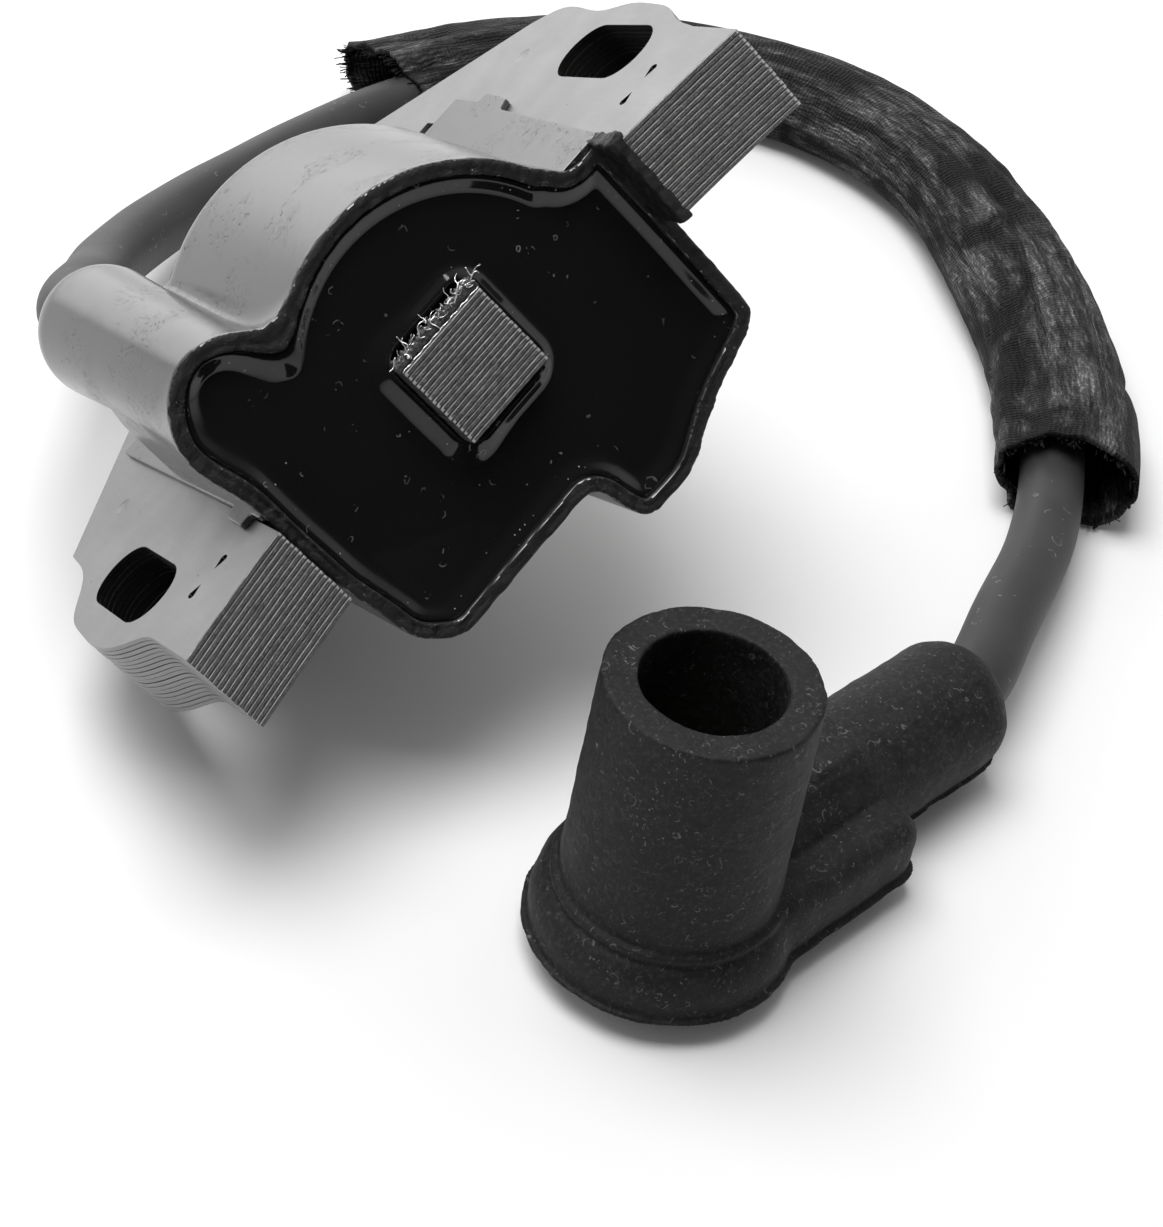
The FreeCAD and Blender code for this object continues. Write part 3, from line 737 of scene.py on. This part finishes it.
def core():
    """Every plate slightly out of line with the next, with stamped marks in the top one."""
    vertices, faces = plate([core_outline(), slot_outline(SLOT_X), slot_outline(-SLOT_X)], PLATE, 0.05)
    parts = []
    for k in range(PLATES):
        slip = rng.normal(0, 0.03, 2)
        lean = rng.normal(0, 0.0006)
        moved = vertices.copy()
        moved[:, 0] += slip[0] - lean * vertices[:, 1]
        moved[:, 1] += slip[1] + lean * vertices[:, 0]
        moved[:, 2] += LOWEST_PLATE + k * PITCH
        parts.append((moved, faces))
    piece = clean_solid(new_mesh("core_plates", *joined(parts), COIL, smooth=False))
    pits = [prism(teardrop(*stamp), CORE_TOP - 0.9, CORE_TOP + 1) for stamp in STAMPS]
    pits += [dent(x, y, 0.95, 0.16) for x, y in DIMPLES]
    cutter = clean_solid(new_mesh("stamp_cutter", *joined(pits), COIL, smooth=False))
    cut = piece.modifiers.new("stamps", "BOOLEAN")
    cut.operation, cut.object, cut.solver = "DIFFERENCE", cutter, "EXACT"
    apply_modifiers(piece)
    bpy.data.objects.remove(cutter)
    dress(piece, "core_steel", "coil", "core_laminations")
    piece.data.materials.append(POLE_STEEL)
    # Pole faces get pole_steel; faces inside the stamped pits and the mounting slots get near-black metal
    # as painted shade in these recesses.
    piece.data.materials.append(PIT_SHADE)
    for face in piece.data.polygons:
        x, y, z = face.center / MM
        on_pole = face.normal.y < -0.5 and y < 1.2
        in_pit = z < CORE_TOP - 0.01 and abs(y - STAMP_Y) < 0.5 and 25.8 < abs(x) < 32.0
        from_slot = math.hypot(abs(x) - SLOT_X, max(abs(y - SLOT_Y) - SLOT_RUN / 2, 0))
        in_slot = z < CORE_TOP - 0.02 and from_slot < SLOT_R + 0.2
        face.material_index = 1 if on_pole else 2 if in_pit or in_slot else 0
    return piece


# ---- case and resin ----
RIM_Y, RESIN_Y = 1.5, 2.9
CASE_BACK, DOME_BACK, REAR_FLOOR = 39.8, 31.5, -14.5
WALL, FLANGE = 1.5, 0.68
CASE_LOW, CASE_HIGH = (-26.0, 0.4, -26.0), (29.0, 44.0, 27.5)
CASE_STEP = 0.28
TOWER_FRONT, TOWER_BACK = (-16.9, -8.0, 13.1), (-16.9, 35.0, 19.0)
MENISCUS, MENISCUS_RISE = 1.6, 0.85
TRENCH_Y = 4.3
BODY_OUTLINE = [(22.7, 5.0), (22.8, -8.0), (22.7, -17.6), (20.6, -18.8), (15.0, -20.3),
                (12.3, -21.5), (8.4, -23.5), (6.0, -23.8), (1.9, -23.5), (0.9, -21.2),
                (0.5, -18.2), (-0.6, -17.0), (-3.0, -17.0), (-17.6, -17.0), (-19.2, -15.9),
                (-21.3, -13.4), (-21.7, -9.5), (-22.4, -5.0), (-22.5, 2.0), (-22.4, 12.0),
                (-21.5, 14.5), (-12.0, 14.5), (0.0, 9.0), (16.8, 7.0), (18.3, 5.0), (20.6, 4.6)]
RIGHT_APRON = [(14.0, 6.0), (17.7, 6.0), (17.7, 1.8), (22.9, 1.8), (24.8, 26.6), (26.2, 27.4),
               (26.7, 33.0), (25.5, 33.4), (25.7, 39.5), (12.0, 39.7), (12.0, 30.0)]
LEFT_APRON = [(-14.0, 6.0), (-21.9, 6.0), (-21.9, 1.9), (-22.8, 1.9), (-22.8, 4.1), (-24.2, 4.2),
              (-24.1, 8.1), (-22.9, 8.8), (-23.2, 43.9), (-14.0, 43.9)]


def case_outside(p):
    """Field of the case with its hollow filled, and open past the front rim."""
    x, y, z = p
    section = outline_field(x[:, 0, :], z[:, 0, :], rounded(BODY_OUTLINE, 1.4))[:, None, :]
    section = section.astype(np.float32) + 0 * y
    front = soft_cut(section, y - DOME_BACK - 1.5, 3.0)
    rear = soft_cut(section, y - CASE_BACK, 2.0)
    rear = soft_cut(soft_cut(rear, REAR_FLOOR - z, 2.0), z - STACK / 2, 0.6)
    dome = soft_cut(cone_field(p, (0, -8, 0), (0, DOME_BACK, 0), 17.3, 20.3, 3.5), -4 - z, 1)
    tower = cone_field(p, TOWER_FRONT, TOWER_BACK, 4.95, 6.5, 4.5)
    body = np.minimum(front, rear)
    near_rim = np.exp(-np.maximum(y - RIM_Y, 0) / 5)
    body = soft_union(body, dome, 1.2)
    return soft_union(body, tower, 1.6 + 4.4 * near_rim)


def leg_passage(p, gap, y0=-5, y1=60):
    top = STACK / 2
    return box_field(p, (-POLE_HALF - gap, y0, -top - gap), (POLE_HALF + gap, y1, top + gap), 0.5)


def apron(name, outline):
    """Flange of the case that lies on the core's upper face."""
    loop = [tuple(v) for v in rounded(outline, 0.35)]
    piece = new_mesh(name, *prism(loop, STACK / 2, STACK / 2 + FLANGE), COIL, smooth=False)
    return dress(clean_solid(piece, 0.14, 3), "case_plastic", "coil")


def flash():
    """Ragged skin of plastic along the inner side of the upper leg, up to its pole face."""
    low, step = (21.2, -4.0, -6.4), 0.11
    p = grid(low, (24.2, 3.4, 6.4), step)
    x, y, z = p
    torn = 0.09 * waves(x, y, z, 2.4, 21) + 0.05 * waves(x, y, z, 1.0, 22) + 0.03 * waves(x, y, z, 0.5, 23)
    skin = box_field(p, (22.0, -2.45, -5.1), (23.1, 2.8, 5.0), 0.2)
    corner = box_field(p, (21.6, -2.2, 3.4), (23.3, 2.8, 5.3), 0.4)
    return field_mesh("case_flash", np.minimum(skin, corner) + torn, low, step, COIL)


def lead_way(p, radius):
    return cone_field(p, (-16.9, 26, 17.8), (-16.9, 45, 20.4), radius, radius)


def case_and_resin():
    p = grid(CASE_LOW, CASE_HIGH, CASE_STEP)
    x, y, z = p
    outside = case_outside(p)
    inside = outside + WALL + 0.05 * waves(x, y, z, 9, 3)
    rim = RIM_Y + 0.09 * waves(x, y, z, 2.2, 5) + 0.07 * waves(x, y, z, 0.9, 6)
    groove = np.exp(-((outside + WALL * 0.62) / 0.16) ** 2)
    shell = soft_union(outside, leg_passage(p, 2.1, 28, CASE_BACK), 0.8)
    shell = soft_cut(shell, -inside, 0.4)
    shell = soft_cut(shell, rim + 0.22 * groove - y, 0.25)
    shell = soft_cut(shell, -leg_passage(p, 0.9, 25), 0.3)
    shell = soft_cut(shell, -lead_way(p, 3.75), 0.6)
    case = field_mesh("case", shell, CASE_LOW, CASE_STEP, COIL)

    from_wall = np.maximum(-(outside + WALL), 0)
    level = RESIN_Y - MENISCUS_RISE * slope_up(from_wall, MENISCUS) + 0.03 * waves(x, 0, z, 9, 8)
    across = np.maximum(np.abs(x - 0.1) - 3.4, 0)
    upward = np.maximum(np.abs(z - 0.1) - 4.0, 0)
    from_mouth = np.hypot(across, upward) - 2.0
    width = 1.4 + 0.8 * np.clip(-x / 6, 0, 1)
    level = level - MENISCUS_RISE * slope_up(from_mouth, width)
    level = np.where(from_mouth < 0, np.minimum(level - 8 * from_mouth, TRENCH_Y), level)
    resin = soft_cut(outside + WALL - 0.02, level - y, 0.3)
    resin = soft_cut(resin, -leg_passage(p, 0.12), 0.2)
    resin = soft_cut(resin, y - 30, 0.5)
    filling = field_mesh("resin", resin, CASE_LOW, CASE_STEP, COIL)
    return case, filling


def slope_up(distance, width):
    """1 at a wall, falling evenly to 0 at a width from it, with a rounded foot."""
    ramp = 1 - distance / width
    return np.clip(0.5 * (ramp + np.sqrt(ramp ** 2 + 0.02)), 0, 1)


def dress_case(case, filling):
    dress(case, "case_plastic", "coil", "coil_case")
    case.data.materials.append(RIM)
    for face in case.data.polygons:
        trimmed = face.center.y < (RIM_Y + 0.5) * MM and face.normal.y < -0.6
        face.material_index = 1 if trimmed else 0
    dress(filling, "potting", "coil", "potting_resin")
    skin = dress(flash(), "case_plastic", "coil")
    skin.data.materials[0] = RIM
    apron("case_flange_right", RIGHT_APRON)
    apron("case_flange_left", LEFT_APRON)


# ---- the strip beside the centre pole ----
def leg_strip():
    """Strip along the centre leg, its front end torn along the outer edge."""
    columns, rows = 90, 10
    vertices, faces = [], []
    for i in range(columns + 1):
        x = -5.2 + 10.4 * i / columns
        tear = 0.20 * math.sin(i * 0.9) * math.sin(i * 0.31 + 1) + rng.normal(0, 0.06)
        for j in range(rows + 1):
            t = j / rows
            dip = 0.22 * math.exp(-(t / 0.12) ** 2) + 0.05 * rng.normal()
            vertices.append((x, 0.25 + dip + 0.4 * t ** 3, STACK / 2 + 0.02 + (1.25 + tear) * t))
    step = rows + 1
    for i in range(columns):
        for j in range(rows):
            a = i * step + j
            faces.append((a, a + 1, a + step + 1, a + step))
    piece = new_mesh("leg_strip_face", vertices, faces, COIL)
    thick = piece.modifiers.new("thickness", "SOLIDIFY")
    thick.thickness, thick.offset = 0.5 * MM, 1
    return dress(apply_modifiers(piece), "wedge", "coil", "centre_leg_wedge")


def torn_fibres():
    """Bright burr along the strip's inner edge, and shiny shreds curling off its outer one."""
    x = np.linspace(-5.1, 5.1, 60)
    seam = np.stack([x, 0.10 + 0.03 * np.sin(x * 9), STACK / 2 + 0.10 + 0.04 * np.sin(x * 5)], 1)
    parts = [tube_mesh(seam, 0.06, 5)]
    for _ in range(54):
        x = rng.uniform(3.4, 5.3) if rng.uniform() < 0.4 else rng.uniform(-5.4, 5.0)
        start = np.array([x, 0.25 + rng.uniform(-0.2, 0.3), STACK / 2 + 1.25 + rng.normal(0, 0.14)])
        length = rng.uniform(0.5, 2.0)
        t = np.linspace(0, length, 16)
        heading = rng.choice((0.0, math.pi)) + rng.normal(0, 0.6)
        heading = heading + rng.normal(0, 2.2) * t + 0.8 * np.sin(3 * t)
        steps = np.stack([np.cos(heading), rng.normal(0, 0.35) * np.sin(2 * t), 0.8 * np.sin(heading)], 1)
        path = start + np.cumsum(steps, 0) * length / 16
        parts.append(tube_mesh(path, rng.uniform(0.03, 0.09) * (1 - 0.5 * t / length), 6))
    piece = new_mesh("strip_shreds", *joined(parts), COIL)
    dress(piece, "wedge", "coil")
    piece.data.materials.clear()
    piece.data.materials.append(SHREDS)
    return piece


# ---- lead ----
# The route is given in the bench layout: x = y = 0 below the middle of the centre pole's face.
BENCH = Matrix.Translation((coil_origin.x, coil_origin.y, 0))
LEAD_R = 3.6
BOOT_AXIS = np.array([21.6, -28.8, 0])
SOCKET = np.array([math.cos(SOCKET_HEADING), math.sin(SOCKET_HEADING), 0])
SOCKET_Z, SOCKET_LENGTH, LEAD_END = 6.9, 43.2, 15.0
to_bench = np.array(BENCH.inverted() @ COIL)


def coil_to_bench(point):
    return to_bench[:3, :3] @ np.array(point) + to_bench[:3, 3] / MM


TOWER_EXIT = coil_to_bench((-16.9, 37.5, 19.343))
TOWER_AIM = TOWER_EXIT - coil_to_bench((-16.9, 27.5, 17.97))
TOWER_AIM = TOWER_AIM / np.linalg.norm(TOWER_AIM)
BEND = np.array([63.0, 27.0, 5.8])
REAR_ROUTE = [(-38.3, 34.5, 19.6), (-38.2, 47.6, 13.6), (-36, 59.6, 9.8), (-32.2, 70.6, 7.2),
              (-26.4, 81.6, 5.5), (-16.6, 95.6, 4.7), (-3, 108.8, 4.7), (13, 117.6, 4.7),
              (30, 120, 4.7), (46, 115, 4.7), (58, 102.5, 4.7), (65, 84, 4.7), (68.2, 62, 4.7),
              (66.6, 41, 5.1)]
FRONT_ROUTE = [(60.0, 19.5, 6.5), (56.6, 11.4, 7.0), (51.9, 1.6, 6.9)]


def in_socket(distance):
    return tuple(BOOT_AXIS + SOCKET * distance + (0, 0, SOCKET_Z))


def lead_path():
    ending = [in_socket(u) for u in (36, 29, 22, LEAD_END)]
    route = [TOWER_EXIT] + REAR_ROUTE + [BEND] + FRONT_ROUTE + ending
    run = spline(route, TOWER_AIM, -SOCKET, 950)
    root = np.linspace(TOWER_EXIT - TOWER_AIM * 11, TOWER_EXIT, 24)[:-1]
    return np.concatenate([root, run])


def lead():
    """Two lengths that meet inside the sleeve."""
    path = lead_path()
    middle = int(np.argmin(np.linalg.norm(path - (58, 102.5, 4.7), axis=1)))
    wobble = 1 + 0.006 * np.sin(np.arange(len(path)) * 0.13)
    rear = new_mesh("lead_long", *tube_mesh(path[:middle], LEAD_R * wobble[:middle], 40), BENCH)
    front = new_mesh("lead_short", *tube_mesh(path[middle:], LEAD_R * wobble[middle:], 40), BENCH)
    dress(rear, "lead_rubber", None, "lead_rear", "lead_root")
    dress(front, "lead_rubber", None, "lead_front")
    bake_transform(rear)
    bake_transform(front)
    return path


# ---- braided sleeve ----
SLEEVE_FROM, SLEEVE_TO = (-8.0, 104.7, 4.7), (66.6, 41.0, 5.1)
SLEEVE_WIDTH, SLEEVE_HEIGHT = 7.2, 4.9


def sleeve(path):
    """Loose flattened tube, creased lengthwise and kinked, thick enough to show at its ends."""
    first, last = (int(np.argmin(np.linalg.norm(path - end, axis=1))) for end in (SLEEVE_FROM, SLEEVE_TO))
    centre = path[first:last + 1]
    tangent, side, up = frames_along(centre)
    rows, sides = len(centre), 120
    along = np.concatenate([[0], np.cumsum(np.linalg.norm(np.diff(centre, axis=0), axis=1))])
    length = along[-1]
    s, turn = np.meshgrid(along, np.linspace(0, 2 * math.pi, sides, endpoint=False), indexing="ij")
    flare, mouth = np.exp(-s / 9.0), np.exp((s - length) / 8.0)
    kink = np.exp(-((s - length + 17.0) / 2.2) ** 2)
    crease = (0.34 * np.sin(5 * turn + 0.05 * s + 1.5 * np.sin(s * 0.045))
              + 0.24 * np.sin(9 * turn - 0.11 * s + 1.1 * np.sin(s * 0.08 + 2))
              + 0.12 * np.sin(15 * turn + 0.2 * s) + 0.10 * waves(s, 6 * turn, 0, 5, 31))
    crease = crease * (0.6 + 0.4 * np.sin(s * 0.06 + turn)) - 0.75 * kink * (0.5 + 0.5 * np.cos(turn + 2.6))
    bulge = 1 + 0.05 * np.sin(s * 0.07) + 0.03 * np.sin(s * 0.19 + 2) + 0.13 * flare + 0.05 * mouth
    wide = (SLEEVE_WIDTH * bulge + crease) * np.cos(turn) - 1.6 - 2.2 * flare
    high = (SLEEVE_HEIGHT * (1 - 0.16 * flare + 0.08 * mouth) + crease) * np.sin(turn) + 0.4
    ragged = 0.35 * waves(7 * np.cos(turn), 7 * np.sin(turn), 0, 3, 33)
    slant = (np.exp(-s / 2.5) - np.exp((s - length) / 2.5)) * ragged
    points = (centre[:, None] + wide[..., None] * side[:, None] + high[..., None] * up[:, None]
              + slant[..., None] * tangent[:, None])
    points[..., 2] = np.maximum(points[..., 2], 0.65)
    flat = points.reshape(-1, 3)
    faces = ring_faces(rows, sides)
    piece = new_mesh("sleeve_braid", flat, faces, BENCH)
    layer = piece.data.uv_layers.new(name="braid")
    around = 2 * math.pi * (SLEEVE_WIDTH + SLEEVE_HEIGHT) / 2
    loops = [(along[f[c] // sides] * MM, around * MM * (j if c in (0, 3) else j + 1) / sides)
             for f, j in ((f, f[0] % sides) for f in faces) for c in range(4)]
    layer.data.foreach_set("uv", np.array(loops, np.float32).ravel())
    thick = piece.modifiers.new("thickness", "SOLIDIFY")
    thick.thickness, thick.offset = 0.6 * MM, -1
    return dress(apply_modifiers(piece), "sleeve_fabric", "sleeve", "heat_sleeve"), points


def frayed_ends(points):
    """Loose yarn ends that stand out of both cut ends of the sleeve."""
    parts = []
    for ring, inner in ((points[0], points[6]), (points[-1], points[-7])):
        middle = ring.mean(0)
        for _ in range(150):
            j = rng.integers(0, len(ring))
            out = ring[j] - inner[j]
            out = out / np.linalg.norm(out)
            spread = (ring[j] - middle) / np.linalg.norm(ring[j] - middle)
            length = rng.uniform(0.3, 1.3)
            t = np.linspace(0, 1, 5)[:, None]
            curl = rng.normal(0, 0.3, 3) + spread * rng.uniform(-0.1, 0.5)
            root = ring[j] - spread * rng.uniform(0, 0.5) - out * 0.6
            line = root + out * (length + 0.6) * t + curl * t * t
            line[:, 2] = np.maximum(line[:, 2], 0.12)
            parts.append(tube_mesh(line, rng.uniform(0.05, 0.13), 4))
    piece = new_mesh("sleeve_fray", *joined(parts), BENCH)
    return dress(piece, "sleeve_fabric", "sleeve")


# ---- boot ----
BARREL_TOP = 32.0
BOOT_STEP = 0.24
BOOT_LOW, BOOT_HIGH = (-13.4, -13.4, -1.0), (45.0, 13.4, 33.4)
PARTING_Z = 3.0


def boot():
    p = grid(BOOT_LOW, BOOT_HIGH, BOOT_STEP)
    x, y, z = p
    radial = np.hypot(x, y)
    worn = 0.05 * waves(x, y, z, 4, 11) + 0.02 * waves(x, y, z, 1.3, 12)
    barrel = cone_field(p, (0, 0, 3), (0, 0, BARREL_TOP), 10.1, 9.5, 0.35)
    collar = cone_field(p, (0, 0, 2), (0, 0, 9.3), 10.9, 10.7, 0.4)
    curve = (12.0 - 3.8 * np.clip((3.2 - z) / 3.2, 0, 1) ** 2 - 1.3 * np.clip((z - 5) / 3.5, 0, 1) ** 2)
    flange = soft_cut(radial - curve, np.abs(z - 4.1) - 4.1, 0.6)
    body = soft_union(soft_union(barrel, collar, 0.2), flange, 0.2)
    body = body + 0.22 * np.exp(-((z - 8.35) / 0.22) ** 2)
    socket = cone_field(p, (0, 0, SOCKET_Z), (SOCKET_LENGTH, 0, SOCKET_Z), 6.8, 6.8, 4.0)
    wing = box_field(p, (-2, -10.6, 1.5), (24.2, 10.6, 9.8), 3.0)
    ridge = box_field(p, (-2, -3.9, 6.0), (22.6, 3.9, 14.8), 1.7)
    for part, fillet in ((socket, 0.8), (wing, 0.3), (ridge, 0.35)):
        body = soft_union(body, part, fillet)
    fin = soft_cut(body - 0.55, np.abs(z - PARTING_Z) - 0.20, 0.1)
    body = soft_union(body, fin, 0.15) + worn
    bore = cone_field(p, (0, 0, 17.4), (0, 0, 40), 6.4, 6.4)
    room = cone_field(p, (0, 0, 3.4), (0, 0, 18.4), 5.4, 5.4)
    way = cone_field(p, (4, 0, SOCKET_Z), (60, 0, SOCKET_Z), 3.72, 3.72)
    mouth = cone_field(p, (29, 0, SOCKET_Z), (60, 0, SOCKET_Z), 3.6, 5.4)
    for opening, edge in ((bore, 0.3), (room, 0.4), (np.minimum(way, mouth), 0.6)):
        body = soft_cut(body, -opening, edge)
    piece = field_mesh("boot", np.maximum(body, -z), BOOT_LOW, BOOT_STEP, BOOT)
    return dress(piece, "boot_rubber", "boot", "plug_boot")


# ---- hidden and small parts ----
def dress_cad_nodes():
    """CAD pieces shown as they are, inside the case and the boot, get their own materials."""
    for entry in frame["record"]["subparts"]:
        node = frame["nodes"][entry["node"]]
        if node.hide_render:
            continue
        node.data.materials.clear()
        node.data.materials.append(MATERIALS[entry["material_slot"]])
        soften = node.modifiers.new("edges", "BEVEL")
        soften.width, soften.segments, soften.limit_method = 0.08 * MM, 2, "ANGLE"


# ---- stage, light, camera ----
def stage():
    floor = new_mesh("floor", [(-3000, -3000, 0), (3000, -3000, 0), (3000, 3000, 0), (-3000, 3000, 0)],
                     [(0, 1, 2, 3)])
    s = Shader("paper")
    s.finish(0.72, 0.9, specular=0.1, Emission_Color=(1, 1, 1, 1), Emission_Strength=0.03)
    floor.data.materials.append(s.material)


def area_light(name, where, aim, size, power):
    data = bpy.data.lights.new(name, "AREA")
    data.shape, data.size, data.energy = "SQUARE", size, power
    light = bpy.data.objects.new(name, data)
    bpy.context.scene.collection.objects.link(light)
    light.location = where
    light.rotation_euler = (Vector(aim) - Vector(where)).to_track_quat("-Z", "Y").to_euler()
    light.visible_camera = False
    return light


def lights():
    """White tent with its dark opening towards the camera, and two large soft lamps."""
    world = bpy.data.worlds.new("studio")
    bpy.context.scene.world = world
    world.use_nodes = True
    tree = world.node_tree
    turn = tree.nodes.new("ShaderNodeVectorMath")
    turn.operation = "DOT_PRODUCT"
    tree.links.new(tree.nodes.new("ShaderNodeTexCoord").outputs["Generated"], turn.inputs[0])
    turn.inputs[1].default_value = OPENING.normalized()
    shade = tree.nodes.new("ShaderNodeValToRGB")
    shade.color_ramp.interpolation = "EASE"
    for stop, (position, grey) in zip(shade.color_ramp.elements, ((0.45, 1.0), (0.76, 0.0))):
        stop.position, stop.color = position, (grey, grey, grey, 1)
    tree.links.new(turn.outputs["Value"], shade.inputs[0])
    background = tree.nodes["Background"]
    tree.links.new(shade.outputs[0], background.inputs[0])
    background.inputs[1].default_value = 0.75
    area_light("top", (-0.22, 0.02, 0.85), (0, 0, 0), 0.6, 8.5)
    area_light("back", (-0.3, 0.55, 0.12), (0, 0, 0.05), 0.7, 2.5)


OPENING = Vector((0.45, -0.75, 0.45))
VIEW = Vector((0.0917, 0.7595, -0.644))
IMAGE_RIGHT = Vector((0.990, 0.0, 0.141))


def camera():
    data = bpy.data.cameras.new("camera")
    data.sensor_width, data.lens = 36.0, 79.83
    data.clip_start, data.clip_end = 0.01, 20
    piece = bpy.data.objects.new("camera", data)
    bpy.context.scene.collection.objects.link(piece)
    back = -VIEW.normalized()
    up = back.cross(IMAGE_RIGHT).normalized()
    right = up.cross(back)
    turn = Matrix((right, up, back)).transposed().to_4x4()
    spot = BENCH.to_translation() + Vector((-10.56, -196.26, 179.68)) * MM
    piece.matrix_world = Matrix.Translation(spot) @ turn
    bpy.context.scene.camera = piece
    bpy.context.scene.view_settings.view_transform = "Standard"


def level_coil_pieces():
    """Turn the own axes of the coil's pieces by LEVEL, so that their boxes lie close round them."""
    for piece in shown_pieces():
        if (piece.matrix_world.to_3x3().col[2] - coil_z).length < 0.001:
            piece.data.transform(Matrix.Rotation(-LEVEL, 4, "Z"))
            piece.matrix_world = COIL @ Matrix.Rotation(LEVEL, 4, "Z")


core()
case, filling = case_and_resin()
dress_case(case, filling)
leg_strip()
torn_fibres()
centreline = lead()
braid, rings = sleeve(centreline)
frayed_ends(rings)
boot()
dress_cad_nodes()
level_coil_pieces()
stage()
lights()
camera()
